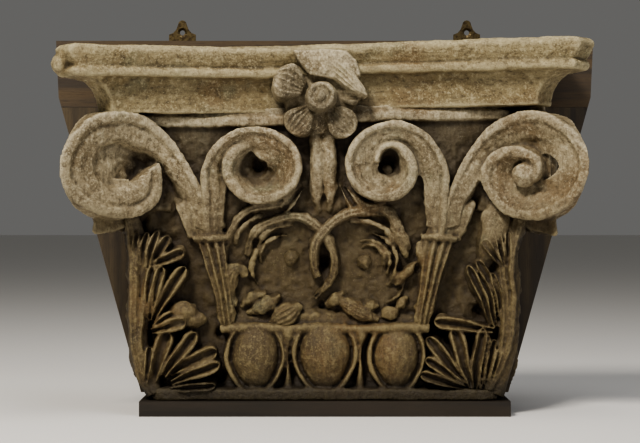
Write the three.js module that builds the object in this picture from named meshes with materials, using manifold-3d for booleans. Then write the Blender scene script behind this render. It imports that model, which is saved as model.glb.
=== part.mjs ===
// Corinthian pilaster capital, carved in softwood and painted, on a tapered backboard with a
// base ledge and two mirror plates. It stands on the ledge.
// Units are millimetres: X along the front, Y back to the wall, Z up. The origin is under the
// middle of the work. In the carving, "out" is how far a point stands in front of the backboard.
import * as THREE from "three";
import { mergeVertices } from "three/addons/utils/BufferGeometryUtils.js";
import Module from "manifold-3d";

const wasm = await Module();
wasm.setup();

// Boards
const PLANK_THICKNESS = 22;
const BOARD_WIDTH = 816;
const BOARD_SHOULDER_WIDTH = 808;
const BOARD_FOOT_WIDTH = 558;
const BOARD_ABOVE_ABACUS = 19.5;
const RAIL_HEIGHT = 101;
const SHOULDER_ABOVE_JOINT = 15; // the sides start to taper this far over the boards' joint
const LEDGE_WIDTH = 536;
const LEDGE_THICKNESS = 22;
const LEDGE_OUT = 122;
const FIT_GAP = 0.3; // between pieces that rest on or are fixed to each other

// Mirror plates and their screws
const PLATE_THICKNESS = 2.4;
const PLATE_WIDTH = 41;
const PLATE_SPACING = 436;
const PLATE_RISE = 34; // above the board's top edge
const PLATE_DROP = 30; // behind the board
const PLATE_SHOULDER_RISE = 12;
const PLATE_TIP_RADIUS = 6.5;
const HANG_HOLE_DIAMETER = 8;
const HANG_HOLE_BELOW_TIP = 19;
const HANG_SINK_DIAMETER = 16;
const SCREW_DIAMETER = 4;
const SCREW_HEAD_DIAMETER = 8;
const SCREW_LENGTH = 18;
const SCREW_SPACING = 22;
const SCREW_BELOW_BOARD_TOP = 15;
const SCREW_CLEARANCE = 0.3;

// Abacus
const HORN_HALF_WIDTH = 382;
const HORN_OUT = 200;
const HORN_CHAMFER = 24;
const ABACUS_MIDDLE_OUT = 132;
const ABACUS_FOOT_Z = 442.5;
const ABACUS_TOP_Z = 536.5;
const ABACUS_LIP_Z = 493.5;
const ABACUS_TILT = 0.014; // how much it rises to the right, per millimetre
const ABACUS_LIP_HEIGHT = 11;
const ABACUS_SIDE_INSET = 24; // how far its ends draw in on the way back to the board
const BAND_TO_LIP = 11;
const LIP_TO_COVE = 8;
const COVE_AT_HORN = 34;
const COVE_AT_MIDDLE = 10;

// Bell
const BELL_WAIST_HALF_WIDTH = 240;
const BELL_HALF_WIDTH = 266;
const BELL_FOOT_OUT = 90;
const BELL_TOP_OUT = 104;
const BELL_LIP_OUT = 113;
const BELL_LIP_HEIGHT = 14;
const BELL_GROOVE_HEIGHT = 4;
const FOOT_FILLET_HEIGHT = 16;
const FOOT_FILLET_OUT = 112;
const FOOT_FILLET_HALF_WIDTH = 252;
const BURIED_OUT = 72; // backs of the applied carving, well inside the bell

// Egg band
const EGG_SPACING = 102;
const EGG_HALF_WIDTHS = [28.5, 34, 32]; // carved by hand, from left to right
const EGG_HALF_HEIGHT = 42;
const EGG_MIDDLE_Z = 84;
const EGG_OUT = 122;
const EGG_BAND_TOP_Z = 128;
const EGG_BAND_LEDGE = 10;
const HUSK_HALF_WIDTH = 42; // the shell round each egg
const HUSK_THICKNESS = 8;
const HUSK_OUT = 112;
const DART_WIDTH = 9;

// Stalks that carry the scrolls
const STALK_FOOT = [141, 124];
const STALK_COLLAR = [165, 252];
const STALK_FOOT_WIDTH = 22;
const STALK_TOP_WIDTH = 36;
const STALK_OUT = 114;
const COLLAR_WIDTH = 50;
const COLLAR_HEIGHT = 10;

// Inner scrolls (helices): rim radius at each turn, in degrees from the outer side
const HELIX_X = 94;
const HELIX_Z = 360;
const HELIX_OUT = 134;
const HELIX_TURNS = [-52, -34, 0, 90, 180, 270, 360, 450, 540];
const HELIX_RADII = [129, 101, 84, 62, 63, 52, 46, 38, 24];

// Corner volutes: the same, in a plane turned towards the corner
const VOLUTE_X = 285;
const VOLUTE_Z = 353;
const VOLUTE_OUT = 148;
const VOLUTE_SKEW = 27;
const VOLUTE_TURNS = [215, 180, 135, 90, 45, 0, -45, -90, -135, -180, -225, -270, -315, -360, -450, -540];
const VOLUTE_RADII = [150, 101, 87, 86, 91, 94, 79, 70, 68, 67, 51, 35, 27, 22, 18, 15];
const VOLUTE_DEPTH = 52;
const CORNER_X = 372; // the side volutes mirror the front ones across this corner
const CORNER_OUT = 192;
const CORNER_BLOCK_FOOT_Z = 262;
const CORNER_BLOCK_SLOPE = 0.3; // its foot rises towards the bell, per millimetre
const CORNER_BLOCK_TIP_X = 336;

// Middle scrollwork and flower
const FLOWER_X = -6; // a little off the middle
const FLOWER_Z = 461;
const FLOWER_OUT = 142;
const PETAL_LENGTH = 58;
const PETAL_WIDTH = 50;
const BUTTON_RADIUS = 20;
const PISTIL_WIDTH = 36;
const VINE_WIDTH = 14;
const VINE_OUT = 116;
const ROSETTE_RADIUS = 15;

// Corner leaves: fans of slender leaflets on one stem, which hides the edge of the bell
const CORNER_LEAF_OUT = 114;
const LEAF_EDGE_X = 270; // the side leaves mirror the front ones across this edge
const LEAF_EDGE_OUT = 100;
const LEAFLET_WIDTH = 20;
const STEM_WIDTH = 21;

// How high a strip stands over its path, across its width from -0.5 to 0.5
const REED = [[-0.5, -6], [-0.3, 0], [0, -4], [0.3, 0], [0.5, -6]];
const LEAF = [[-0.5, -6], [-0.36, 0], [0, -8], [0.36, 0], [0.5, -6]];
const FLAT = [[-0.5, -3], [-0.3, 0], [0.3, 0], [0.5, -3]];
const THREE_REEDS = [
  [-0.5, -7], [-0.4, 0], [-0.26, 0], [-0.17, -7], [-0.08, 0],
  [0.08, 0], [0.17, -7], [0.26, 0], [0.4, 0], [0.5, -7],
];

const DEPTH = HORN_OUT + PLANK_THICKNESS + FIT_GAP + PLATE_THICKNESS;
const BOARD_FACE_Y = HORN_OUT - DEPTH / 2;
const BOARD_BACK_Y = BOARD_FACE_Y + PLANK_THICKNESS;
const CAPITAL_FOOT_Z = LEDGE_THICKNESS + FIT_GAP;
const BOARD_TOP_Z = ABACUS_TOP_Z + BOARD_ABOVE_ABACUS;
const RAIL_FOOT_Z = BOARD_TOP_Z - RAIL_HEIGHT;
const BOARD_SHOULDER_Z = RAIL_FOOT_Z + SHOULDER_ABOVE_JOINT;
const RAD = Math.PI / 180;
const mix = THREE.MathUtils.lerp;
const ease = THREE.MathUtils.smoothstep;

// A point at x, standing "out" in front of the board's face, at height z.
const at = (x, out, z) => new THREE.Vector3(x, BOARD_FACE_Y - out, z);

// The points of a ring laid flat, turning to the left when seen along the ring's own normal.
function flatten(ring) {
  const normal = new THREE.Vector3();
  ring.forEach((p, i) => normal.add(p.clone().cross(ring[(i + 1) % ring.length])));
  normal.normalize();
  const side = Math.abs(normal.z) < 0.9 ? new THREE.Vector3(0, 0, 1) : new THREE.Vector3(1, 0, 0);
  const u = side.cross(normal).normalize();
  const v = normal.clone().cross(u);
  return ring.map((p) => new THREE.Vector2(p.dot(u), p.dot(v)));
}

// A closed solid through rings of points, each ring with the same number, with flat ends.
function loft(rings) {
  const count = rings[0].length;
  const index = [];
  for (let r = 0; r + 1 < rings.length; r++) {
    for (let i = 0; i < count; i++) {
      const a = r * count + i;
      const b = r * count + ((i + 1) % count);
      index.push(a, b, a + count, b, b + count, a + count);
    }
  }
  const cap = (ring, base, turned) => {
    const flat = flatten(ring);
    THREE.ShapeUtils.triangulateShape(flat, []).forEach(([a, b, c]) => {
      const area = (flat[b].x - flat[a].x) * (flat[c].y - flat[a].y)
        - (flat[c].x - flat[a].x) * (flat[b].y - flat[a].y);
      const order = area > 0 !== turned ? [a, b, c] : [a, c, b];
      index.push(...order.map((k) => base + k));
    });
  };
  cap(rings[0], 0, true);
  cap(rings.at(-1), (rings.length - 1) * count, false);
  const geometry = new THREE.BufferGeometry().setFromPoints(rings.flat());
  geometry.setIndex(index);
  return geometry;
}

// Signed volume of an indexed geometry, to find one whose faces point inwards.
function signedVolume(geometry) {
  const p = geometry.getAttribute("position");
  const ix = geometry.index.array;
  const [a, b, c] = [0, 1, 2].map(() => new THREE.Vector3());
  let volume = 0;
  for (let i = 0; i < ix.length; i += 3) {
    a.fromBufferAttribute(p, ix[i]);
    b.fromBufferAttribute(p, ix[i + 1]);
    c.fromBufferAttribute(p, ix[i + 2]);
    volume += a.dot(b.cross(c)) / 6;
  }
  return volume;
}

// A three.js geometry as a solid that can be joined and cut.
function solid(source) {
  const bare = source.clone();
  bare.deleteAttribute("normal");
  bare.deleteAttribute("uv");
  const geometry = mergeVertices(bare, 1e-4);
  const triVerts = new Uint32Array(geometry.index.array);
  if (signedVolume(geometry) < 0) {
    for (let i = 0; i < triVerts.length; i += 3) {
      [triVerts[i + 1], triVerts[i + 2]] = [triVerts[i + 2], triVerts[i + 1]];
    }
  }
  const vertProperties = new Float32Array(geometry.getAttribute("position").array);
  return new wasm.Manifold(new wasm.Mesh({ numProp: 3, vertProperties, triVerts }));
}

const join = (solids) => solids.reduce((sum, s) => sum.add(s));
const loftSolid = (rings) => solid(loft(rings));

// A box between two opposite corners.
function block([x0, y0, z0], [x1, y1, z1]) {
  const box = new THREE.BoxGeometry(x1 - x0, y1 - y0, z1 - z0);
  box.translate((x0 + x1) / 2, (y0 + y1) / 2, (z0 + z1) / 2);
  return solid(box);
}

// A solid back as a three.js geometry.
function geometryOf(made) {
  const mesh = made.getMesh();
  const points = new Float32Array(mesh.numVert * 3);
  for (let i = 0; i < mesh.numVert; i++) {
    points.set(mesh.vertProperties.subarray(i * mesh.numProp, i * mesh.numProp + 3), i * 3);
  }
  const geometry = new THREE.BufferGeometry();
  geometry.setAttribute("position", new THREE.BufferAttribute(points, 3));
  geometry.setIndex(new THREE.BufferAttribute(mesh.triVerts, 1));
  return geometry;
}

// A strip of carving along a path of [x, z, width, out], with its section across it. place puts
// a point of the strip in the work: on the front unless told otherwise.
function strip(path, section, { steps = path.length - 1, back = BURIED_OUT, place = at } = {}) {
  const curve = new THREE.CatmullRomCurve3(
    path.map(([x, z, , out]) => new THREE.Vector3(x, out, z)),
    false,
    "centripetal",
  );
  const rings = [];
  for (let k = 0; k <= steps; k++) {
    const t = k / steps;
    const p = curve.getPoint(t);
    const along = curve.getTangent(t);
    const side = new THREE.Vector2(along.z, -along.x).normalize();
    const n = Math.min(path.length - 2, Math.floor(t * (path.length - 1)));
    const width = mix(path[n][2], path[n + 1][2], t * (path.length - 1) - n);
    const point = (share, out) => place(p.x + side.x * share * width, out, p.z + side.y * share * width);
    rings.push([
      point(section[0][0], back),
      ...section.map(([share, height]) => point(share, p.y + height)),
      point(section.at(-1)[0], back),
    ]);
  }
  return loftSolid(rings);
}

// One slender leaflet from its foot at (x, z), leaning "angle" degrees from upright towards -x.
function leaflet({ x, z, angle, length, width = LEAFLET_WIDTH, out = CORNER_LEAF_OUT, tip = 0.3,
  bend = 0, mirror = 1, ...rest }) {
  const shares = [[0.12, 0.45, -5], [0.6, 1, 2], [1, tip, -4]];
  const path = shares.map(([along, wide, rise]) => {
    const lean = (angle + bend * along) * RAD;
    const px = x - Math.sin(lean) * length * along;
    const pz = z + Math.cos(lean) * length * along;
    return [mirror * px, pz, width * wide, out + rise];
  });
  return strip(path, LEAF, rest);
}

// A ball pressed into the front of the work.
function ball(x, z, out, radius, { around = 7, high = 4 } = {}) {
  const sphere = new THREE.SphereGeometry(radius, around, high);
  sphere.rotateX(90 * RAD);
  const centre = at(x, out, z);
  return solid(sphere.translate(centre.x, centre.y, centre.z));
}

// Bell: a block with a fillet at its foot, a ledge over the eggs and a lip under the abacus.
function bell() {
  const lipFoot = ABACUS_FOOT_Z - BELL_GROOVE_HEIGHT - BELL_LIP_HEIGHT;
  const filletTop = CAPITAL_FOOT_Z + FOOT_FILLET_HEIGHT;
  const ledgeFoot = EGG_BAND_TOP_Z - EGG_BAND_LEDGE;
  const levels = [
    [CAPITAL_FOOT_Z, FOOT_FILLET_OUT, FOOT_FILLET_HALF_WIDTH],
    [filletTop, FOOT_FILLET_OUT, FOOT_FILLET_HALF_WIDTH],
    [filletTop + 3, BELL_FOOT_OUT, BELL_WAIST_HALF_WIDTH],
    [ledgeFoot, BELL_FOOT_OUT, mix(BELL_WAIST_HALF_WIDTH, BELL_HALF_WIDTH, 0.7)],
    [300, mix(BELL_FOOT_OUT, BELL_TOP_OUT, 0.5), BELL_HALF_WIDTH],
    [lipFoot - 2, BELL_TOP_OUT, BELL_HALF_WIDTH],
    [lipFoot, BELL_LIP_OUT, BELL_HALF_WIDTH + 8],
    [lipFoot + BELL_LIP_HEIGHT, BELL_LIP_OUT, BELL_HALF_WIDTH + 8],
    [lipFoot + BELL_LIP_HEIGHT + 2, BELL_LIP_OUT - 9, BELL_HALF_WIDTH],
    [ABACUS_FOOT_Z + 5, BELL_LIP_OUT - 9, BELL_HALF_WIDTH],
  ];
  const corner = 16;
  const body = loftSolid(levels.map(([z, out, half]) => {
    const rise = z < lipFoot - 2 ? 0 : ABACUS_TILT;
    return [
      at(-half, 0, z - rise * half),
      at(half, 0, z + rise * half),
      at(half, out - corner, z + rise * half),
      at(half - corner, out, z + rise * (half - corner)),
      at(-half + corner, out, z - rise * (half - corner)),
      at(-half, out - corner, z - rise * half),
    ];
  }));
  const ledgeEnd = EGG_SPACING + HUSK_HALF_WIDTH + 6;
  const ledge = block(
    [-ledgeEnd, BOARD_FACE_Y - HUSK_OUT + 2, ledgeFoot],
    [ledgeEnd, BOARD_FACE_Y - BURIED_OUT, EGG_BAND_TOP_Z],
  );
  return [body, ledge];
}

// Abacus: a plate with concave sides between cut horns; its edge is a band, a lip and a cove.
function abacus() {
  const coveSteps = 3;
  const frontSteps = 8;
  const sideSteps = 3;
  const lipTop = ABACUS_LIP_Z + ABACUS_LIP_HEIGHT;
  const levels = [];
  for (let k = 0; k <= coveSteps; k++) {
    const turn = (k / coveSteps) * 90 * RAD;
    levels.push({
      z: mix(ABACUS_FOOT_Z, ABACUS_LIP_Z - 1, Math.sin(turn)),
      horn: BAND_TO_LIP + LIP_TO_COVE + COVE_AT_HORN * Math.cos(turn),
      middle: BAND_TO_LIP + COVE_AT_MIDDLE * Math.cos(turn),
    });
  }
  levels.push({ z: ABACUS_LIP_Z, horn: BAND_TO_LIP, middle: BAND_TO_LIP - 3 });
  levels.push({ z: lipTop, horn: BAND_TO_LIP, middle: BAND_TO_LIP - 3 });
  levels.push({ z: lipTop + 1, horn: BAND_TO_LIP + 3, middle: BAND_TO_LIP });
  levels.push({ z: mix(lipTop, ABACUS_TOP_Z, 0.35), horn: 2, middle: 2 });
  levels.push({ z: mix(lipTop, ABACUS_TOP_Z, 0.7), horn: 0, middle: 0 });
  levels.push({ z: ABACUS_TOP_Z, horn: 5, middle: 5 });
  const rings = levels.map(({ z, horn, middle }) => {
    const tipX = HORN_HALF_WIDTH - horn;
    const tipOut = HORN_OUT - horn;
    const right = [];
    for (let k = 0; k <= sideSteps; k++) {
      const t = k / sideSteps;
      const drawnIn = ABACUS_SIDE_INSET * Math.sin((1 - t) * 90 * RAD);
      right.push(at(tipX - drawnIn, mix(0, tipOut - HORN_CHAMFER, t), z + ABACUS_TILT * (tipX - drawnIn)));
    }
    const front = [];
    for (let k = 0; k <= frontSteps; k++) {
      const t = mix(1, -1, k / frontSteps);
      const x = t * (tipX - HORN_CHAMFER);
      front.push(at(x, mix(ABACUS_MIDDLE_OUT - middle, tipOut, t * t), z + ABACUS_TILT * x));
    }
    const left = right.map((p) => new THREE.Vector3(-p.x, p.y, p.z - 2 * ABACUS_TILT * p.x)).reverse();
    return [...right, ...front, ...left];
  });
  const knob = ball(-HORN_HALF_WIDTH + 9, ABACUS_LIP_Z + 9, HORN_OUT - 25, 15);
  return [loftSolid(rings), knob];
}

// Rim radius of a scroll at a turn of "degrees", read smoothly between the named turns.
function rimRadius(turns, radii, degrees) {
  const direction = Math.sign(turns[1] - turns[0]);
  let k = turns.findIndex((t) => (t - degrees) * direction > 0);
  if (k < 0) k = turns.length - 1;
  k = Math.max(1, k);
  const t = THREE.MathUtils.clamp((degrees - turns[k - 1]) / (turns[k] - turns[k - 1]), -0.2, 1.2);
  const slope = (n) => {
    const a = Math.max(0, n - 1);
    const b = Math.min(turns.length - 1, n + 1);
    return ((radii[b] - radii[a]) / (turns[b] - turns[a])) * (turns[k] - turns[k - 1]);
  };
  const [t2, t3] = [t * t, t * t * t];
  return radii[k - 1] * (2 * t3 - 3 * t2 + 1) + slope(k - 1) * (t3 - 2 * t2 + t)
    + radii[k] * (3 * t2 - 2 * t3) + slope(k) * (t3 - t2);
}

// A scroll's ribbon, wound from its stalk towards its eye, with a raised rim and a hollow face.
// place(u, v, h): u is sideways in the scroll's plane, v is up and h stands out of it.
function ribbon({ turns, radii, from, to, step, width, back, rise, place }) {
  const sign = Math.sign(to - from);
  const rim = (deg) => {
    const r = rimRadius(turns, radii, deg);
    return new THREE.Vector2(r * Math.cos(deg * RAD), r * Math.sin(deg * RAD));
  };
  const rings = [];
  const steps = Math.round(Math.abs(to - from) / step);
  for (let k = 0; k <= steps; k++) {
    const deg = mix(from, to, k / steps);
    const along = rim(deg + sign * 2).sub(rim(deg - sign * 2)).normalize();
    const inward = new THREE.Vector2(-along.y, along.x).multiplyScalar(sign);
    const w = width(deg);
    const bead = Math.min(13, w * 0.34);
    const hollow = Math.min(20, w * 0.42);
    const section = [
      [0, back],
      [0, -4],
      [bead * 0.5, 0],
      [bead, -2],
      [bead * 1.4, -hollow * 0.7],
      [w, -hollow],
      [w, back],
    ];
    rings.push(section.map(([q, h], i) => {
      const p = rim(deg).addScaledVector(inward, q);
      const behind = i === 0 || i === section.length - 1;
      return place(p.x, p.y, behind ? h : h + rise(deg), behind);
    }));
  }
  return loftSolid(rings);
}

// A ribbon in two lapped lengths, so that neither one meets itself.
function scroll(options, split) {
  const lap = 12 * Math.sign(options.to - options.from);
  return [
    ribbon({ ...options, to: split + lap }),
    ribbon({ ...options, from: split }),
  ];
}

// Inner scroll of one side. The right one keeps its eye; the left one has only a hole there.
function helix(side) {
  const radius = (deg) => rimRadius(HELIX_TURNS, HELIX_RADII, deg);
  const place = (u, v, h) => at(side * (HELIX_X + u), HELIX_OUT + h, HELIX_Z + v);
  const parts = scroll({
    turns: HELIX_TURNS,
    radii: HELIX_RADII,
    from: -52,
    to: side > 0 ? 490 : 400,
    step: 37,
    width: (deg) => {
      const free = deg < 180 ? radius(deg) - radius(deg + 360) + 2 : radius(deg) * 0.5;
      return Math.max(12, Math.min(free, mix(30, 40, ease(deg, -50, 40))));
    },
    back: -44,
    rise: (deg) => mix(-18, 0, ease(deg, -52, 60)),
    place,
  }, 170);
  const bowl = new THREE.CylinderGeometry(HELIX_RADII[6], HELIX_RADII[6], 26, 12);
  const centre = place(0, 0, -34);
  parts.push(solid(bowl.translate(centre.x, centre.y, centre.z)));
  if (side > 0) parts.push(ball(side * HELIX_X, HELIX_Z, HELIX_OUT - 12, 12));
  return parts;
}

// Corner volute of one side, on the front or round the corner, with the block behind both.
function volute(side, round) {
  const [c, s] = [Math.cos(VOLUTE_SKEW * RAD), Math.sin(VOLUTE_SKEW * RAD)];
  const radius = (deg) => rimRadius(VOLUTE_TURNS, VOLUTE_RADII, deg);
  const place = (u, v, h, behind) => {
    const toCorner = CORNER_X - VOLUTE_X - u * c - (CORNER_OUT - VOLUTE_OUT - u * s);
    const depth = Math.max(h, (-toCorner / (c + s)) * (behind ? 1 : 0.6) - (behind ? 1 : 0));
    const x = VOLUTE_X + u * c - depth * s;
    const out = VOLUTE_OUT + u * s + depth * c;
    const [px, pout] = round ? [CORNER_X + out - CORNER_OUT, CORNER_OUT + x - CORNER_X] : [x, out];
    return at(side * px, pout, VOLUTE_Z + v);
  };
  const broken = side < 0 && !round;
  const parts = scroll({
    turns: VOLUTE_TURNS,
    radii: VOLUTE_RADII,
    from: round ? 150 : 215,
    to: broken ? -190 : -400,
    step: round ? 50 : 38,
    width: (deg) => {
      const grown = mix(26, 50, ease(215 - deg, 0, 110)) + 14 * ease(90 - deg, 0, 90);
      const free = radius(deg) - radius(Math.max(-540, deg - 360)) + 3;
      return Math.max(14, Math.min(grown, deg > -180 ? free : radius(deg) * 0.55));
    },
    back: -VOLUTE_DEPTH,
    rise: (deg) => mix(22, 0, ease(215 - deg, 0, 80)),
    place,
  }, -30);
  const reach = broken ? -40 : -26;
  const rings = [-VOLUTE_DEPTH, reach].map((h) => {
    const ring = [];
    for (let k = 0; k < 10; k++) {
      const turn = k * 36 * RAD;
      ring.push(place(44 * Math.cos(turn), 44 * Math.sin(turn), h, true));
    }
    return ring;
  });
  parts.push(loftSolid(rings));
  if (!broken) {
    const eye = new THREE.SphereGeometry(17, 8, 5);
    const centre = place(0, 0, -14);
    parts.push(solid(eye.translate(centre.x, centre.y, centre.z)));
  }
  return parts;
}

// The block that fills the corner behind the two volutes.
function cornerBlock(side) {
  const plan = [[200, 60], [225, 96], [290, 108], [336, 146], [326, 112], [292, 60], [286, 0], [200, 0]];
  const rings = [0, 1].map((top) => plan.map(([x, out]) => {
    const shrink = top ? 16 : 6;
    const z = top
      ? ABACUS_FOOT_Z + 4 + ABACUS_TILT * side * x
      : CORNER_BLOCK_FOOT_Z + CORNER_BLOCK_SLOPE * (CORNER_BLOCK_TIP_X - x);
    return at(side * (x - shrink * (x > 230)), Math.max(0, out - shrink * (out > 90)), z);
  }));
  return loftSolid(rings);
}

// Eggs, each in its husk, with a dart between neighbours.
function eggBand() {
  const parts = [];
  for (const n of [-1, 0, 1]) {
    const x = n * EGG_SPACING;
    const egg = new THREE.SphereGeometry(1, 10, 6);
    egg.rotateX(90 * RAD);
    const p = egg.getAttribute("position");
    for (let i = 0; i < p.count; i++) {
      const pinch = 1 - 0.26 * ease(-p.getZ(i), -0.2, 1);
      p.setXYZ(i, p.getX(i) * EGG_HALF_WIDTHS[n + 1] * pinch, p.getY(i) * 36 * pinch, p.getZ(i) * EGG_HALF_HEIGHT);
    }
    const middle = at(x, EGG_OUT - 36, EGG_MIDDLE_Z);
    parts.push(solid(egg.translate(middle.x, middle.y, middle.z)));
    const half = [[1, EGG_BAND_TOP_Z - 2], [0.97, 88], [0.72, 52], [0.3, 36]];
    for (const side of [-1, 1]) {
      const path = half.map(([share, z]) => [x + side * share * HUSK_HALF_WIDTH, z, HUSK_THICKNESS, HUSK_OUT]);
      parts.push(strip(path, FLAT));
    }
    if (n < 1) {
      const dartX = x + EGG_SPACING / 2;
      const path = [
        [dartX, EGG_BAND_TOP_Z - 4, DART_WIDTH, HUSK_OUT - 4],
        [dartX, 90, DART_WIDTH, HUSK_OUT - 1],
        [dartX, 44, DART_WIDTH * 2, HUSK_OUT - 6],
      ];
      parts.push(strip(path, REED));
    }
  }
  return parts;
}

// Reeded stalk with its collar, from the egg band up to the two scrolls it carries.
function stalk(side) {
  const [footX, footZ] = STALK_FOOT;
  const [collarX, collarZ] = STALK_COLLAR;
  const path = [
    [side * footX, footZ, STALK_FOOT_WIDTH, STALK_OUT - 4],
    [side * mix(footX, collarX, 0.4), mix(footZ, collarZ, 0.5), mix(STALK_FOOT_WIDTH, STALK_TOP_WIDTH, 0.45), STALK_OUT],
    [side * collarX, collarZ + 4, STALK_TOP_WIDTH, STALK_OUT],
  ];
  const lean = 6 * side;
  const collar = [
    [side * collarX - COLLAR_WIDTH / 2, collarZ + 1 + lean, COLLAR_HEIGHT, STALK_OUT - 3],
    [side * collarX, collarZ + 2, COLLAR_HEIGHT, STALK_OUT + 5],
    [side * collarX + COLLAR_WIDTH / 2, collarZ + 1 - lean, COLLAR_HEIGHT, STALK_OUT - 3],
  ];
  return [strip(path, THREE_REEDS), strip(collar, FLAT)];
}

// Scrollwork in the middle: two vines cross, swell round a slot and meet again at the foot.
function middleWork() {
  const vine = (points, steps, width = VINE_WIDTH, out = VINE_OUT) =>
    strip(points.map(([x, z]) => [x, z, width, out]), REED, { steps });
  const pistil = [[1, 412], [2, 350], [1, 300]];
  const parts = [-0.25, 0.25].map((share) => strip(
    pistil.map(([x, z], n) => [x + share * PISTIL_WIDTH, z, PISTIL_WIDTH * 0.48, mix(VINE_OUT + 4, 108, n / 2)]),
    FLAT,
  ));
  parts.push(vine([[-14, 204], [-17, 232], [-8, 256], [6, 276], [28, 290], [64, 296], [98, 280], [117, 248], [114, 226]], 9, 15, VINE_OUT + 4));
  parts.push(vine([[-16, 168], [4, 190], [14, 212], [13, 234], [2, 254], [-12, 270], [-34, 287], [-66, 289], [-98, 272], [-114, 248], [-113, 228]], 10));
  parts.push(vine([[-36, 336], [-70, 304], [-104, 298], [-132, 280], [-147, 238]], 5, 12));
  parts.push(vine([[44, 278], [72, 276], [96, 256]], 3, 10, VINE_OUT - 4));
  parts.push(vine([[-46, 276], [-72, 272], [-94, 250]], 3, 10, VINE_OUT - 4));
  const leaves = [
    { x: 30, z: 341, angle: -142, length: 40, width: 14 },
    { x: -40, z: 338, angle: 134, length: 42, width: 14 },
    { x: -128, z: 158, angle: 10, length: 76, width: 30, out: 118 },
    { x: -112, z: 143, angle: -58, length: 52, width: 22 },
    { x: -66, z: 138, angle: -66, length: 44, width: 36 },
    { x: 82, z: 140, angle: 60, length: 76, width: 30 },
    { x: 60, z: 152, angle: -70, length: 26, width: 16 },
    { x: 100, z: 160, angle: -24, length: 64, width: 24 },
    { x: 143, z: 222, angle: 2, length: 30, width: 18 },
  ];
  leaves.forEach((leaf) => parts.push(leaflet({ out: 111, ...leaf })));
  parts.push(ball(66, 216, 100, ROSETTE_RADIUS));
  parts.push(ball(-50, 233, 96, ROSETTE_RADIUS * 0.7));
  parts.push(ball(96, 147, 98, ROSETTE_RADIUS * 0.8));
  return parts;
}

// Flower on the abacus. Three petals are whole and the two upper ones are broken off short.
function flower() {
  const petals = [
    { angle: 72, length: 1, tip: 0.55 },
    { angle: 144, length: 0.95, tip: 0.5 },
    { angle: -144, length: 0.95, tip: 0.5 },
    { angle: -60, length: 0.85, tip: 0.2 },
    { angle: 0, length: 0.9, tip: 0.9 },
  ];
  const parts = petals.map(({ angle, length, tip }) => leaflet({
    x: FLOWER_X - Math.sin(angle * RAD) * 10,
    z: FLOWER_Z + Math.cos(angle * RAD) * 10,
    angle,
    length: PETAL_LENGTH * length,
    width: PETAL_WIDTH,
    out: FLOWER_OUT + 6,
    tip,
  }));
  parts.push(ball(FLOWER_X, FLOWER_Z, FLOWER_OUT + 4, BUTTON_RADIUS, { around: 12 }));
  parts.push(ball(FLOWER_X, FLOWER_Z, FLOWER_OUT + 21, 6, { around: 6, high: 4 }));
  return parts;
}

// Corner leaf of one side: its stem, and fans of leaflets that lean towards the middle. The same
// fans go round the corner, plainer, because they are hardly seen.
function cornerLeaf(side) {
  const stemPath = [[250, 36], [265, 76], [272, 120], [274, 180], [271, 232], [284, 282]];
  const fans = [
    { x: 214, z: 40, leaves: [[-8, 84], [17, 86], [41, 95], [60, 80], [80, 72]] },
    { x: 258, z: 128, leaves: [[21, 112], [34, 100], [80, 94]] },
    { x: 262, z: 216, leaves: [[66, 58], [40, 62], [12, 52]] },
  ];
  const round = (x, out, z) => at(side * (LEAF_EDGE_X + out - LEAF_EDGE_OUT), LEAF_EDGE_OUT + side * x - LEAF_EDGE_X, z);
  const parts = [strip(
    stemPath.map(([x, z]) => [side * x, z, STEM_WIDTH, CORNER_LEAF_OUT]),
    REED,
    { back: BURIED_OUT - 12 },
  )];
  for (const { x, z, leaves } of fans) {
    leaves.forEach(([angle, length], n) => {
      const out = CORNER_LEAF_OUT - 4 + 3 * (n % 2);
      parts.push(leaflet({ x, z, angle, length, out, mirror: side }));
      if (n === 1) parts.push(leaflet({ x: x - 6, z, angle, length, out, mirror: side, place: round }));
    });
  }
  return parts;
}

// The whole carved work, cut flat where it meets the board and the ledge. The wood is solid: the
// small gaps left deep between the joined forms are closed.
function capital() {
  const parts = [...bell(), ...abacus(), ...eggBand(), ...middleWork(), ...flower()];
  for (const side of [-1, 1]) {
    parts.push(cornerBlock(side), ...volute(side, false), ...volute(side, true));
    parts.push(...helix(side), ...stalk(side), ...cornerLeaf(side));
  }
  const behind = block([-500, BOARD_FACE_Y - FIT_GAP, -50], [500, BOARD_FACE_Y + 400, 700]);
  const below = block([-500, -400, -50], [500, 400, CAPITAL_FOOT_Z]);
  const shells = join(parts).subtract(behind).subtract(below).decompose();
  return shells.reduce((largest, shell) => (shell.volume() > largest.volume() ? shell : largest));
}

// A plank from an outline in X and Z, as thick as the boards.
function plank(outline) {
  return loftSolid([BOARD_FACE_Y, BOARD_BACK_Y].map((y) => outline.map(([x, z]) => new THREE.Vector3(x, y, z))));
}

const plateX = [-PLATE_SPACING / 2, PLATE_SPACING / 2];
const screwX = (plate, n) => plateX[plate] + (n - 0.5) * SCREW_SPACING;
const SCREW_Z = BOARD_TOP_Z - SCREW_BELOW_BOARD_TOP;
const PLATE_FACE_Y = BOARD_BACK_Y + FIT_GAP;
const PLATE_BACK_Y = PLATE_FACE_Y + PLATE_THICKNESS;

// A solid turned round an axis along Y. Each profile point is [radius, y].
function turned(x, z, profile, around = 8) {
  const lathe = new THREE.LatheGeometry(profile.map(([r, y]) => new THREE.Vector2(r, y)), around);
  return solid(lathe.translate(x, 0, z));
}

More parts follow.
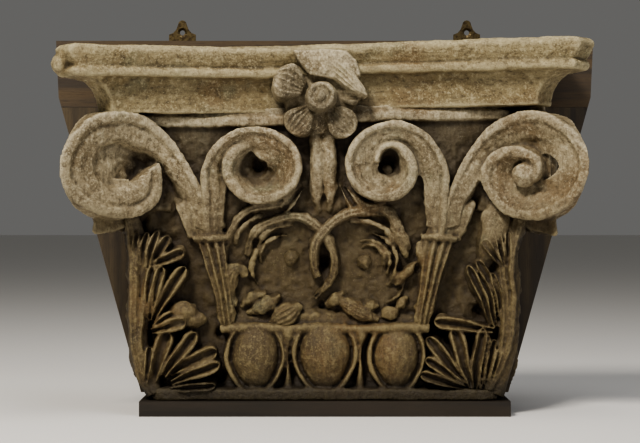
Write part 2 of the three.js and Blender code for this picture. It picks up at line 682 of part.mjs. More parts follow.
// A countersunk screw driven from the back, or with spare > 0 the hole it goes through.
function screw(plate, n, spare) {
  const shank = SCREW_DIAMETER / 2 + spare;
  const head = SCREW_HEAD_DIAMETER / 2 + spare;
  const end = spare ? PLATE_BACK_Y + 1 : PLATE_BACK_Y - 0.1;
  const profile = [
    [0, PLATE_BACK_Y - SCREW_LENGTH - spare],
    [shank, PLATE_BACK_Y - SCREW_LENGTH + 2 * (spare === 0) - spare],
    [shank, PLATE_BACK_Y - PLATE_THICKNESS + 0.4],
    [head, PLATE_BACK_Y - 0.3],
    [head, end],
    [0, end],
  ];
  return turned(screwX(plate, n), SCREW_Z, profile);
}

const screwHoles = (plates) => join(plates.flatMap((k) => [screw(k, 0, SCREW_CLEARANCE), screw(k, 1, SCREW_CLEARANCE)]));

// Mirror plate: straight sides, hollow shoulders and a round tip, with a hole to hang it by.
function hangerPlate(k) {
  const tipZ = BOARD_TOP_Z + PLATE_RISE;
  const shape = new THREE.Shape();
  const half = PLATE_WIDTH / 2;
  const shoulder = BOARD_TOP_Z + PLATE_SHOULDER_RISE;
  shape.moveTo(-half, BOARD_TOP_Z - PLATE_DROP);
  shape.lineTo(half, BOARD_TOP_Z - PLATE_DROP);
  shape.lineTo(half, shoulder);
  shape.quadraticCurveTo(PLATE_TIP_RADIUS + 3, shoulder + 2, PLATE_TIP_RADIUS, tipZ - PLATE_TIP_RADIUS);
  shape.absarc(0, tipZ - PLATE_TIP_RADIUS, PLATE_TIP_RADIUS, 0, Math.PI, false);
  shape.quadraticCurveTo(-PLATE_TIP_RADIUS - 3, shoulder + 2, -half, shoulder);
  const outline = shape.getPoints(3).filter((p, n, all) => n === 0 || p.distanceTo(all[n - 1]) > 0.01);
  if (outline[0].distanceTo(outline.at(-1)) < 0.01) outline.pop();
  const rings = [PLATE_FACE_Y, PLATE_BACK_Y].map((y) => outline.map((p) => new THREE.Vector3(plateX[k] + p.x, y, p.y)));
  const hole = HANG_HOLE_DIAMETER / 2;
  const sink = HANG_SINK_DIAMETER / 2;
  const hanging = turned(plateX[k], tipZ - HANG_HOLE_BELOW_TIP, [
    [0, PLATE_FACE_Y - 1],
    [sink + 1.5, PLATE_FACE_Y - 1],
    [hole, PLATE_BACK_Y - 0.6],
    [hole, PLATE_BACK_Y + 1],
    [0, PLATE_BACK_Y + 1],
  ], 10);
  return loftSolid(rings).subtract(hanging).subtract(screwHoles([k]));
}

const shoulderHalf = BOARD_SHOULDER_WIDTH / 2;
const footHalf = BOARD_FOOT_WIDTH / 2;
const taper = (z) => mix(footHalf, shoulderHalf, (z - CAPITAL_FOOT_Z) / (BOARD_SHOULDER_Z - CAPITAL_FOOT_Z));
const jointHalf = taper(RAIL_FOOT_Z);

const rail = plank([
  [-jointHalf, RAIL_FOOT_Z], [jointHalf, RAIL_FOOT_Z], [shoulderHalf, BOARD_SHOULDER_Z],
  [BOARD_WIDTH / 2, BOARD_TOP_Z], [-BOARD_WIDTH / 2, BOARD_TOP_Z], [-shoulderHalf, BOARD_SHOULDER_Z],
]).subtract(screwHoles([0, 1]));
const panelTop = RAIL_FOOT_Z - FIT_GAP;
const panel = plank([
  [-footHalf, CAPITAL_FOOT_Z], [footHalf, CAPITAL_FOOT_Z],
  [taper(panelTop), panelTop], [-taper(panelTop), panelTop],
]);
const ledge = block(
  [-LEDGE_WIDTH / 2, BOARD_FACE_Y - LEDGE_OUT, 0],
  [LEDGE_WIDTH / 2, BOARD_BACK_Y, LEDGE_THICKNESS],
);

const group = new THREE.Group();
group.name = "corinthian_pilaster_capital";

function addPiece(name, made, color, roughness, metalness = 0) {
  const material = new THREE.MeshStandardMaterial({ color, roughness, metalness });
  material.name = name;
  const mesh = new THREE.Mesh(geometryOf(made), material);
  mesh.name = name;
  group.add(mesh);
}

addPiece("capital", capital(), 0x8a7d62, 0.8);
addPiece("backboard_rail", rail, 0x57472f, 0.7);
addPiece("backboard_panel", panel, 0x4a3c28, 0.7);
addPiece("base_ledge", ledge, 0x4d3f2a, 0.7);
["left", "right"].forEach((name, k) => {
  addPiece(`hanger_plate_${name}`, hangerPlate(k), 0x6b5a34, 0.5, 1);
  addPiece(`hanger_screw_${name}_1`, screw(k, 0, 0), 0x5a4b2e, 0.5, 1);
  addPiece(`hanger_screw_${name}_2`, screw(k, 1, 0), 0x5a4b2e, 0.5, 1);
});

export default group;
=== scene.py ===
# %% [markdown]
# # A carved corinthian capital
#
# This lesson dresses a wooden pilaster capital: carved, primed, painted cream and then worn and
# darkened for a very long time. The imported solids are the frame. The boards, the ledge and the
# metal plates keep their solids and only get a finish. The carving is made again here, with every
# form worked out from sizes, because its soft edges and rough paint need far more faces.

import bmesh
import bpy
import numpy as np
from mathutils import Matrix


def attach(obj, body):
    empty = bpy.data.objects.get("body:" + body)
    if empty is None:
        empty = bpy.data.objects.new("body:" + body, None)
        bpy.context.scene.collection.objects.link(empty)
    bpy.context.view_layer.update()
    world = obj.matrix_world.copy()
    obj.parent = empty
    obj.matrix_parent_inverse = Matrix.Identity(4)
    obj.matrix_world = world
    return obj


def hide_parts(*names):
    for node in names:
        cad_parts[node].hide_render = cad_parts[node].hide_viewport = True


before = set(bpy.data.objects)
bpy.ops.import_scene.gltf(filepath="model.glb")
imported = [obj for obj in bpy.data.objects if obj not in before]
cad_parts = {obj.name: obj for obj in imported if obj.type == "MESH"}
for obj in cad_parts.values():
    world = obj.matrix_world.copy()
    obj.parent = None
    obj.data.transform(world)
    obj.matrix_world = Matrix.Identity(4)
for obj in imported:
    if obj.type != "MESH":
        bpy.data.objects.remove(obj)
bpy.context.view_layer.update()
MM = 0.001

# %% [markdown]
# ## Places on the work
#
# All the carving is described in millimetres. A point has x along the front, z up, and "out",
# which is how far it stands in front of the backboard. One function turns that into the frame's
# own axes. Keeping one way to say a place is what lets a shape be read from its numbers.

# %% Sizes shared with the solids
FACE_Y = 87.65  # the front of the backboard
CLEAR = 0.3  # the gap between the carving and the backboard
HELIX = (94, 360, 134)  # x, z and out of the inner scrolls
VOLUTE = (285, 353, 148)  # the same of the corner volutes
VOLUTE_SKEW = np.radians(27)  # how far their planes are turned towards the corner
CORNER = (372, 192)  # x and out of the corner that the side volutes mirror across
BELL_EDGE = (270, 100)  # x and out of the edge that the side leaves mirror across
FLOWER = (-6, 461)  # x and z of the flower's heart
BURIED = 72  # how far out the backs of the applied forms lie, inside the bell


def at(x, out, z):
    """Points in the frame's axes, in millimetres, from x, out and z."""
    x, out, z = np.broadcast_arrays(x, out, z)
    return np.stack([x, FACE_Y - out, z], axis=-1).astype(float)


def lift(x):
    """How much higher the abacus and the moulding under it sit at x: the right half is higher."""
    return np.interp(x, [-382, -300, -94, 0, 108, 280, 382], [-7, -5, -4.5, 0, 3.5, 5.5, 3.5])


print("the abacus rises", round(float(lift(280) - lift(-280)), 1), "mm from left to right")

# %% [markdown]
# ## From a profile to a closed solid
#
# A carver thinks of a moulding as a section pushed along a line. Here a solid is an array of
# rings: ring after ring of points, each ring the section at one place along the line. Joining
# each ring to the next and closing both ends gives a closed skin. Many such skins can lie in
# each other, because the next step melts them into one.

# %% Rings to a mesh
def ring_faces(rings, start):
    """Quads between neighbouring rings, and one face that closes each end."""
    count, size = rings.shape[:2]
    r, s = np.meshgrid(np.arange(count - 1), np.arange(size), indexing="ij")
    nxt = (s + 1) % size
    above = (r + 1) * size
    quads = np.stack([r * size + s, r * size + nxt, above + nxt, above + s], axis=-1)
    ends = np.stack([np.arange(size)[::-1], (count - 1) * size + np.arange(size)])
    return quads.reshape(-1, 4) + start, ends + start


def mesh_of(name, solids):
    """One mesh object from many ring arrays in millimetres, with its place in its mesh."""
    points, loops, sizes, start = [], [], [], 0
    for rings in solids:
        quads, ends = ring_faces(rings, start)
        points.append(rings.reshape(-1, 3))
        loops += [quads.ravel(), ends.ravel()]
        sizes += [np.full(len(quads), 4), np.full(2, ends.shape[1])]
        start += rings.shape[0] * rings.shape[1]
    points, loops, sizes = np.concatenate(points) * MM, np.concatenate(loops), np.concatenate(sizes)
    mesh = bpy.data.meshes.new(name)
    mesh.vertices.add(len(points))
    mesh.vertices.foreach_set("co", points.astype(np.float32).ravel())
    mesh.loops.add(len(loops))
    mesh.loops.foreach_set("vertex_index", loops.astype(np.int32))
    mesh.polygons.add(len(sizes))
    mesh.polygons.foreach_set("loop_start", (np.cumsum(sizes) - sizes).astype(np.int32))
    mesh.update(calc_edges=True)
    mesh.validate()
    piece = bpy.data.objects.new(name, mesh)
    bpy.context.scene.collection.objects.link(piece)
    return piece


print("ring helpers ready")

# %% [markdown]
# ## A strip of carving
#
# Most of the ornament is a strip that lies on the bell: a stem, a leaf, a reed. Its path is a
# few points, each with a width and a height, and a smooth curve through them is the centre line.

# %% A smooth curve and a smooth step
def cubic(u, span, start, end, start_slope, end_slope):
    """From start to end as u goes from 0 to 1 over a span, with the slope given at each end."""
    leave = (2 * u**3 - 3 * u**2 + 1) * start + (u**3 - 2 * u**2 + u) * span * start_slope
    arrive = (3 * u**2 - 2 * u**3) * end + (u**3 - u**2) * span * end_slope
    return leave + arrive


def through(points, count):
    """A smooth curve through rows of numbers: each span is a cubic with the slopes of its ends."""
    points = np.asarray(points, float)
    gaps = np.linalg.norm(np.diff(points[:, :2], axis=0), axis=1) + 1e-6
    knots = np.concatenate([[0], np.cumsum(gaps)])
    slopes = np.gradient(points, knots, axis=0)
    t = np.linspace(0, knots[-1], count)
    k = np.clip(np.searchsorted(knots, t, side="right") - 1, 0, len(points) - 2)
    span = (knots[k + 1] - knots[k])[:, None]
    u = ((t - knots[k]) / span[:, 0])[:, None]
    return cubic(u, span, points[k], points[k + 1], slopes[k], slopes[k + 1])


def ease(value, low, high):
    """0 below low, 1 above high, and a smooth step between them."""
    u = np.clip((np.asarray(value, float) - low) / (high - low), 0, 1)
    return u * u * (3 - 2 * u)


print("the middle of a bend:", through([[0, 0], [10, 5], [20, 0]], 3)[1])

# %% [markdown]
# ## Sections
#
# A section says how far the face of a strip lies below its highest line. It is a function of s,
# which runs from -1 at one edge to 1 at the other, and it gives millimetres. High powers of s
# make a flat face with thin edges, a cosine makes rods, and a bell curve makes one groove.

# %% Sections of strips
def reed(s):
    """A stem with a groove down its middle, so it reads as two rods."""
    return -8 * np.abs(s) ** 3 - 4 * np.exp(-((s / 0.22) ** 2))


def trough(s):
    """A leaflet: thin raised lips near both edges, and a deep hollow between them."""
    lip = np.clip((np.abs(s) - 0.84) / 0.16, 0, 1)
    return -5 * lip**2 - 10 * (1 - np.clip(np.abs(s) / 0.64, 0, 1) ** 2.6)


def pillow(s):
    """A plain rounded strip."""
    return -8 * np.abs(s) ** 3


def three_reeds(s):
    """Three rods side by side, with lips at the outer edges."""
    return -7 * (np.cos(s * 3 * np.pi) * 0.5 + 0.5) - 6 * np.abs(s) ** 8


def ribs(s):
    """A rounded leaf with five raised ribs along it."""
    return -7 * np.abs(s) ** 3 + 1.8 * np.cos(s * 5 * np.pi)


def cup(s):
    """A petal: a rim at both edges, a shallow hollow between them and fine ribs in it."""
    return -7 * (1 - s**2) - 8 * np.abs(s) ** 10 + 1.7 * np.cos(s * 6 * np.pi)


def channel(s):
    """The face of a flat stem: two low lips and a wide shallow groove."""
    return -6 * np.abs(s) ** 9 - 5 * (1 - np.abs(s) ** 3)


def ridged(s):
    """A rounded strip with a ridge down its middle."""
    return -6 * np.abs(s) ** 2 + 5 * np.exp(-((s / 0.16) ** 2))


for section in (reed, trough, pillow, three_reeds, ribs, cup, channel, ridged):
    print(section.__name__, "falls", round(float(-section(np.linspace(-1, 1, 41)).min()), 1), "mm")

# %% [markdown]
# ## From a path and a section to a strip
#
# The section is laid across the path at each of its points. Below the edges a skirt goes down
# into the ground, three rings wide, so that the strip grows out of the wood behind it.

# %% Strips and leaflets
SKIRT_DROP = np.array([0.45, 0.8, 1.0])  # how far down the rings of the skirt lie, as shares
SKIRT_SPREAD = np.array([1.2, 3.5, 7.0])  # how far outside the edge they lie, in millimetres


def strip(path, section, count=40, across=21, back=BURIED, place=at, sink=(0, 0), flare=1.0):
    """Rings of a strip whose path rows are x, z, width and out. sink lowers its two ends.

    Each ring is the section over the width of the path, and the skirt down to "back".
    """
    x, z, width, out = through(path, count).T
    dx, dz = np.gradient(x), np.gradient(z)
    length = np.hypot(dx, dz) + 1e-9
    t = np.linspace(0, 1, count)
    out = out - sink[0] * (1 - ease(t, 0, 0.3)) - sink[1] * ease(t, 0.7, 1)
    s = np.linspace(-1, 1, across)
    side_x, side_z = (dz / length)[:, None], (-dx / length)[:, None]
    half = np.maximum(width, 1)[:, None] / 2
    top = out[:, None] + section(s)[None, :]
    skirt = np.concatenate([SKIRT_DROP, SKIRT_DROP[::-1]])[None, :]
    spread = SKIRT_SPREAD * flare
    reach = np.concatenate([half + spread, -half - spread[::-1]], axis=1)
    level = top[:, [-1] * 3 + [0] * 3] * (1 - skirt) + back * skirt
    across_all = np.concatenate([half * s, reach], axis=1)
    out_all = np.concatenate([top, level], axis=1)
    return place(x[:, None] + side_x * across_all, out_all, z[:, None] + side_z * across_all)


def leaflet(
    x, z, angle, length, width, bend=0, out=116, side=1, section=trough, curl=-3, blunt=0.84, **more
):
    """A leaflet from its foot at x, z, leaning "angle" degrees from upright towards the middle.

    It swells from a slim foot, and past the share "blunt" of its length its end is rounded off
    like half an ellipse, so that the lips run round the tip.
    """
    tip = blunt + (1 - blunt) * np.sin(np.linspace(0.2, 1.5, 8))
    share = np.concatenate([np.linspace(0, blunt, 9), tip])
    lean = np.radians(angle + bend * share)
    swell = 0.42 + 0.58 * np.sin(np.pi / 2 * np.clip(share / 0.7, 0, 1)) ** 1.2
    swell = swell * np.sqrt(np.clip(1 - (np.clip(share - blunt, 0, 1) / (1 - blunt)) ** 2, 0.004, 1))
    step = np.diff(share, prepend=0) * length
    path = np.stack(
        [
            side * (x - np.cumsum(np.sin(lean) * step)),
            z + np.cumsum(np.cos(lean) * step),
            width * swell,
            out - 8 * (1 - share) ** 2 + 4 * np.sin(np.pi * share) + curl * share**4,
        ],
        axis=-1,
    )
    return strip(path, section, count=44, across=19, **more)


print("a leaflet has", leaflet(0, 0, 0, 80, 20).shape[0], "rings")

# %% [markdown]
# ## Scrolls
#
# A volute is a ribbon that starts as a stalk and winds in on itself. In the plane of the scroll
# its rim is a curve given by a radius at some turns, read smoothly between them. The section
# has a thick bead at the rim and then a bowl that deepens towards the next turn. The ribbon is
# cut into lapped lengths so that no length meets itself.

# %% The rim of a scroll and its ribbon
def rim_radius(turns, radii, degrees):
    """The radius at each turn, through the named ones, by cubics with matched slopes."""
    turns, radii = np.asarray(turns, float), np.asarray(radii, float)
    if turns[0] > turns[-1]:
        turns, radii = turns[::-1], radii[::-1]
    slopes = np.gradient(radii, turns)
    d = np.clip(np.asarray(degrees, float), turns[0], turns[-1])
    k = np.clip(np.searchsorted(turns, d, side="right") - 1, 0, len(turns) - 2)
    span = turns[k + 1] - turns[k]
    return cubic((d - turns[k]) / span, span, radii[k], radii[k + 1], slopes[k], slopes[k + 1])


def ribbon(turns, radii, start, end, width, rise, deep, crescent, bead, place, back, pit=0.0):
    """Rings of a scroll's ribbon. width, rise, deep, crescent and bead depend on the turn.

    Across the ribbon, q runs from 0 at the rim to 1 at its inner edge. The bead is a rounded
    band with a thin line cut along its inside. Past that the face slopes down by "deep".
    "crescent" is a further drop near the inner edge, the black gap against the next turn.
    "pit" is the share of the depth that is kept for a steep funnel near the inner edge.
    """
    sign = np.sign(end - start)
    deg = np.linspace(start, end, int(abs(end - start) / 4) + 2)

    def rim(d):
        r = rim_radius(turns, radii, d)
        return np.stack([r * np.cos(np.radians(d)), r * np.sin(np.radians(d))], axis=-1)

    along = rim(deg + sign * 1.5) - rim(deg - sign * 1.5)
    along /= np.linalg.norm(along, axis=1, keepdims=True) + 1e-9
    inward = np.stack([-along[:, 1], along[:, 0]], axis=-1) * sign
    w = width(deg)[:, None]
    band = np.minimum(bead(deg)[:, None], w * 0.8)
    q = np.linspace(0, 1, 29)[None, :]
    split = 0.34  # the share of the rings' points that lie on the bead
    on_band = np.clip(q / split, 0, 1)
    over = np.clip((q - split) / (1 - split), 0, 1)
    across = band * on_band + (w - band) * over
    hump = -4 * (1 - np.sqrt(np.clip(1 - np.abs(2 * on_band - 1) ** 3, 0, 1)))
    hump = np.where(q > split, -4 + 4 * ease(over, 0, 0.3), hump)
    bowl = 0.35 * ease(over, 0, 0.35) + 0.65 * over
    fall = deep(deg)[:, None] * ((1 - pit) * bowl + pit * ease(over, 0.5, 0.95))
    gap = crescent(deg)[:, None] * ease(over, 0.5, 0.72)
    line = 2.6 * np.exp(-(((over - 0.08) / 0.06) ** 2))
    height = hump + rise(deg)[:, None] - fall - gap - line
    flat = rim(deg)[:, None, :] + inward[:, None, :] * across[..., None]
    top = place(flat[..., 0], flat[..., 1], np.maximum(height, back + 4), False)
    ends = flat[:, [-1, 0], :]
    foot = place(ends[..., 0], ends[..., 1], np.full(ends.shape[:2], float(back)), True)
    return np.concatenate([top, foot], axis=1)


def lapped(cuts, lap, **scroll):
    """The ribbon in several lengths; each but the last runs on past its cut by the lap."""
    lap = lap * np.sign(cuts[-1] - cuts[0])
    ends = [*(cut + lap for cut in cuts[1:-1]), cuts[-1]]
    return [ribbon(start=start, end=end, **scroll) for start, end in zip(cuts, ends)]


# %% A ball
def ball(x, z, out, radius, wide=1.0, tall=1.0, deep=1.0, place=at):
    """Rings of a ball, by latitude from bottom to top."""
    high = np.radians(np.linspace(-88, 88, 21))[:, None]
    turn = np.linspace(0, 2 * np.pi, 33)[None, :-1]
    flat = np.cos(high) * radius
    level = z + np.sin(high) * radius * tall + 0 * turn
    return place(x + flat * np.cos(turn) * wide, out + flat * np.sin(turn) * deep, level)


print("a ball has", ball(0, 0, 0, 10).shape[0], "rings")

# %% [markdown]
# ## The abacus
#
# The top plate has hollow sides that run out to cut horns. Its edge is a band with a soft belly,
# a narrow lip and a cove. Each level of the edge is one ring, drawn in from the outline by how
# deep the moulding is there, and deeper at the horns than at the middle, as on the real one.

# %% Abacus rings
COVE_FOOT, COVE_TALL = 442.5, 49  # z of the foot of the cove, and its height
LIP_MIDDLE, LIP_HALF = 498.5, 6.5  # z of the lip's furthest line, and how far the lip goes either way
# z of the band's furthest line, and how far the band goes on below and above it
BELLY, BELLY_BELOW, BELLY_ABOVE = 529, 24, 7.5
HORN_TIP = (380, 200)  # x and out of a horn's corner at the band, before it is cut off
HORN_CUT = 24  # how much of the corner is cut off along each face
FRONT_OUT = 132  # how far out the hollow front lies in its middle, at the band


def abacus():
    """Rings of the abacus from its foot up; each ring goes right side, front, left side.

    The cove is a quarter circle that is upright at its foot and flares out under the lip.
    """
    shares = np.array([0, 0.03, 0.08, 0.16, 0.26, 0.37, 0.49, 0.6, 0.7, 0.79, 0.87, 0.93, 0.97, 1])
    cove_z = COVE_FOOT + COVE_TALL * shares
    lip_z = np.array([492, 493.5, 496, 499, 502, 504])
    band_z = np.array([505, 507, 510, 513, 517, 521, 525, 529, 532.5, 535, 536.5])
    z = np.concatenate([cove_z, lip_z, band_z])
    cove = np.clip((COVE_FOOT + COVE_TALL - z) / COVE_TALL, 0, 1)
    curve = np.sqrt(np.clip(1 - (1 - cove) ** 2, 0, 1))
    lip = 6 + 3 * (np.clip(z - LIP_MIDDLE, -LIP_HALF, LIP_HALF) / LIP_HALF) ** 2
    band = 12 * (np.clip(BELLY - z, 0, BELLY_BELOW) / BELLY_BELOW) ** 1.6
    band = band + 7 * (np.clip(z - BELLY, 0, BELLY_ABOVE) / BELLY_ABOVE) ** 2.2
    parts = [z <= cove_z[-1], z <= lip_z[-1]]
    horn = np.select(parts, [21 + 32 * curve, lip], band)[:, None]
    middle = np.select(parts, [17 + 11 * curve, lip - 2], band)[:, None]
    tip_x, tip_out = HORN_TIP[0] - horn, HORN_TIP[1] - horn
    t = np.linspace(0, 1, 40)[None, :]
    side_x = tip_x - HORN_CUT * np.sin((1 - t) * np.pi / 2)
    side_out = (tip_out - HORN_CUT) * t
    f = np.linspace(1, -1, 161)[None, :]
    front_x = f * (tip_x - HORN_CUT)
    front_out = (FRONT_OUT - middle) + (tip_out - FRONT_OUT + middle) * np.abs(f) ** 2
    x = np.concatenate([side_x, front_x, -side_x[:, ::-1]], axis=1)
    out = np.concatenate([side_out, front_out, side_out[:, ::-1]], axis=1)
    return at(x, out, z[:, None] + lift(x))


abacus_solids = [
    abacus(),
    # the broken end of the left horn
    ball(-374, 503, 174, 13, wide=0.9, tall=1.1),
    ball(-366, 514, 176, 11),
    ball(-370, 494, 170, 10),
]
print("abacus rings:", abacus_solids[0].shape)

# %% [markdown]
# ## The bell and its eggs
#
# Behind the ornament stands a plain block, a little wider at the top. At its foot run a fillet
# and a row of three eggs, each in a shell, with a dart between neighbours. The face is cut back
# deepest in small pits between the forms, which is where the real one is black.

# %% The bell
# Rows of the bell from its foot up: z, how far out its face is, and half its width.
BELL = np.array(
    [
        [22.3, 110, 251], [24, 112, 252], [36, 112, 252], [38.3, 110, 250], [41, 92, 241],
        [60, 90, 242], [118, 90, 258], [160, 92, 264], [230, 94, 266], [300, 97, 266],
        [360, 100, 266], [420, 103, 266],
        [422.5, 105, 266], [424.5, 111, 272], [427, 113, 273], [436, 113, 273],
        [438.5, 111, 272], [440, 108, 267], [448, 108, 266],
    ]
)
PLAIN_FACE = BELL[5:12]  # the rows between the fillet at the foot and the moulding at the top
# x, z and radius of the places that are cut deep between the forms
PITS = np.array(
    [
        [-224, 210, 11], [-211, 116, 10], [-233, 150, 9], [-190, 86, 11], [-160, 52, 9], [-150, 118, 8],
        [166, 124, 17], [215, 116, 10], [150, 78, 9], [228, 150, 9], [240, 236, 9], [-240, 246, 9],
        [-6, 152, 9], [0, 222, 9], [-51, 58, 9], [51, 58, 9], [-152, 56, 9], [152, 56, 9],
        [-96, 361, 12], [90, 366, 13],
    ]
)
FIELD = (63, 222, 66)  # x on either side, z and radius of the two round fields
DEEPEST = 24  # no place is cut back further than this, in millimetres


def ground(x, z):
    """How far the bell's face is cut back at x, z: two round fields, two troughs and the pits."""
    cut = np.zeros(np.broadcast(x, z).shape)
    for side in (-1, 1):
        field = np.hypot(x - side * FIELD[0], (z - FIELD[1]) * 0.95) / FIELD[2]
        cut += 4 * (1 - ease(field, 0.5, 1.1))
        trough_x = side * (196 + 0.2 * (z - 200))
        cut += 7 * np.exp(-(((x - trough_x) / 26) ** 2)) * ease(z, 130, 175) * (1 - ease(z, 385, 410))
    for pit_x, pit_z, radius in PITS:
        cut += 22 * np.exp(-(((x - pit_x) ** 2 + (z - pit_z) ** 2) / radius**2) ** 1.5)
    return np.minimum(cut, DEEPEST)


def bell():
    """Rings of the bell from its foot up, each a rectangle with soft front corners."""
    levels, outs, halves = BELL.T
    z = np.unique(np.concatenate([levels, np.arange(42, 416, 3.0)]))
    out, half = np.interp(z, levels, outs)[:, None], np.interp(z, levels, halves)[:, None]
    soft = 16  # the radius of the front corners
    corner = np.linspace(0, np.pi / 2, 7)[None, :]
    x, o = half - soft + soft * np.cos(corner), out - soft + soft * np.sin(corner)
    front = (half - soft) * np.linspace(1, -1, 181)[None, 1:-1]
    face = out - ground(front, z[:, None]) * ease(z, 41, 48)[:, None]
    ring_x = np.concatenate([-half, half, x, front, -x[:, ::-1]], axis=1)
    ring_out = np.concatenate([0 * out, 0 * out, o, face, o[:, ::-1]], axis=1)
    return at(ring_x, ring_out, z[:, None] + lift(ring_x) * ease(z, 400, 424)[:, None])


bell_solids = [bell()]
print("bell rings:", bell_solids[0].shape)

# %% [markdown]
# ## Eggs and darts
#
# An egg is a ball whose lower half is pinched and whose face is a little flat. Its shell is two
# thin lips that follow the egg's outline at a distance, and the dart is a narrow tongue.

# %% Eggs, shells, darts and their ledge
EGG_OUT, EGG_DEEP = 92, 31  # how far out an egg's middle lies, and how far the egg stands out of it
EGGS = [(-101, 35, 84, 46), (0, 38, 86, 49), (104.5, 33, 83, 45)]  # x, half width, z, half height


def egg_width(high):
    """Half the width of an egg at a latitude, as a share: round above, pinched below."""
    return np.cos(high) ** 0.75 * (1 - 0.22 * ease(-np.sin(high), -0.1, 1))


def egg(x, half_width, z, half_height):
    """A ball with a pinched foot and a broad flattened face."""
    high = np.radians(np.linspace(-88, 88, 41))[:, None]
    turn = np.linspace(0, 2 * np.pi, 49)[None, :-1]
    flat = egg_width(high)
    bulge = np.sign(np.sin(turn)) * np.abs(np.sin(turn)) ** 0.85
    swell = np.sign(np.cos(turn)) * np.abs(np.cos(turn)) ** 0.9
    level = z + half_height * np.sin(high) + 0 * turn
    return at(x + half_width * flat * swell, EGG_OUT + EGG_DEEP * flat * bulge, level)


def shell(x, half_width, z, half_height):
    """The two halves of the shell round an egg: a thin lip that hugs its outline to the foot."""
    high = np.radians([58, 30, 0, -30, -55, -75, -86])
    gap = np.array([6.5, 6.5, 6.5, 6, 5, 4, 3])
    wide = half_width * egg_width(high) + gap * np.cos(high)
    down = z + (half_height + gap) * np.sin(high)
    widths, outs = [8, 8, 8, 7, 7, 6, 5], [108, 110, 111, 111, 110, 108, 106]
    for side in (-1, 1):
        path = np.stack([x + side * wide, down, widths, outs], axis=-1)
        yield strip(path, pillow, count=44, across=13, flare=0.7)


def dart(x):
    """A dart between two shells: broad under the ledge, a thin spine below, wider at its foot."""
    path = [[x, 126, 20, 111], [x, 114, 18, 111], [x, 104, 7, 108], [x, 66, 6, 107], [x, 42, 12, 105]]
    return strip(path, pillow, across=13)


bell_solids += [dart(-53), dart(52)]
ledge = [
    [-152, 125, 14, 108], [-100, 127, 15, 112], [-60, 125, 13, 109], [0, 127, 15, 112],
    [50, 125, 13, 110], [104, 127, 16, 113], [152, 126, 14, 109],
]
bell_solids.append(strip(ledge, pillow, count=60, across=13))
bank = [[-150, 136, 24, 97], [0, 138, 28, 99], [150, 136, 24, 97]]
bell_solids.append(strip(bank, pillow, count=60, across=13, flare=3.0))
for row in EGGS:
    bell_solids += [egg(*row), *shell(*row)]
print("bell solids:", len(bell_solids))

# %% [markdown]
# ## Inner scrolls and stalks
#
# Two reeded stalks rise from the egg band. From the collar of each grow two scrolls, one to the
# corner and one to the middle. Old handling has worn the inner scroll on the left to a funnel,
# and the one on the right keeps its eye, so each has its own radii, depths and length.

# %% Inner scrolls
HELIX_TURNS = [-52, -34, 0, 90, 180, 270, 360, 450, 540]
HELIX_RADII = {-1: [129, 101, 84, 59, 61, 54, 55, 44, 36], 1: [129, 101, 84, 66, 65, 49, 40, 36, 20]}


def helix(side):
    """The inner scroll of one side. The left one is worn to a funnel; the right one has an eye."""

    def place(u, v, h, _behind=False):
        return at(side * (HELIX[0] + u), HELIX[2] + h, HELIX[1] + v)

    def radius(d):
        return rim_radius(HELIX_TURNS, HELIX_RADII[side], d)

    def width(d):
        to_next = radius(d) - radius(d + 360) + 5
        if side < 0:
            free = to_next + (radius(d) - 12 - to_next) * ease(d, 40, 110)
        else:
            inner = np.interp(d, [180, 270, 360, 450, 540], [48, 40, 27, 10, 8])
            free = np.where(d < 180, to_next, inner)
        return np.maximum(np.minimum(free, 30 + 30 * ease(d, -50, 60)), 8)

    # how far the end sinks, how deep the bowl is, and the gap against the next turn
    end_drop, bowl, gap = (9, 24, 10) if side < 0 else (5, 12, 5)

    def rise(d):
        return -18 + 18 * ease(d, -52, 60) - 5 * ease(d, 240, 360) - end_drop * ease(d, 370, 450)

    def deep(d):
        return 8 + 8 * ease(d, -40, 60) + bowl * ease(d, 100, 240) - 8 * ease(d, 340, 420)

    scroll = dict(
        turns=HELIX_TURNS,
        radii=HELIX_RADII[side],
        width=width,
        rise=rise,
        deep=deep,
        crescent=lambda d: gap * np.exp(-(((d - 50) / 60) ** 2)),
        bead=lambda d: 11 + 4 * ease(d, 200, 330),
        place=place,
        back=-46,
    )
    cuts = [-52, 100, 250, 400, 520] if side > 0 else [-52, 100, 250, 380, 445]
    solids = lapped(cuts, 10, **scroll)
    if side > 0:
        solids.append(ball(side * (HELIX[0] - 3), HELIX[1] - 2, HELIX[2] - 40, 8))
    return solids


def stalk(side):
    """A reeded stalk that flares to its collar, and above it the roots of its two scrolls."""
    path = [[140, 120, 18, 106], [147, 168, 24, 114], [157, 216, 31, 116], [166, 256, 38, 114]]
    collar = [[140, 258, 9, 110], [165, 259, 12, 120], [192, 256, 9, 110]]
    root = [[187, 258, 20, 108], [194, 280, 25, 112], [203, 302, 25, 112], [213, 326, 20, 104]]
    web = [[167, 258, 40, 112], [172, 290, 34, 110], [178, 326, 16, 106]]
    path, collar, root, web = (np.array(rows) * [side, 1, 1, 1] for rows in (path, collar, root, web))
    return [
        strip(path, three_reeds, count=60, across=61),
        strip(collar, pillow, count=40, across=13),
        strip(root, channel, count=40, across=31, flare=0.6, sink=(0, 14)),
        strip(web, ridged, count=40, across=31),
    ]


scroll_solids = [*helix(-1), *helix(1), *stalk(-1), *stalk(1)]
print("scroll solids:", len(scroll_solids))

# %% [markdown]
# ## The work between the scrolls
#
# Two stems cross under the flower, swell round a slot and meet again at the foot. In each of the
# two round fields that they leave sit thin carved lines and a seed head, and below them a bank of
# small ribbed leaves. Part of the work is guessed, and kept plain.

# %% Helpers for stems, lines and seed heads
def vine(points, width, out=118, section=reed, count=90, **more):
    """A stem through points of x and z."""
    points = np.asarray(points, float)
    path = np.column_stack([points, np.full(len(points), float(width)), np.full(len(points), float(out))])
    return strip(path, section, count=count, across=25, **more)


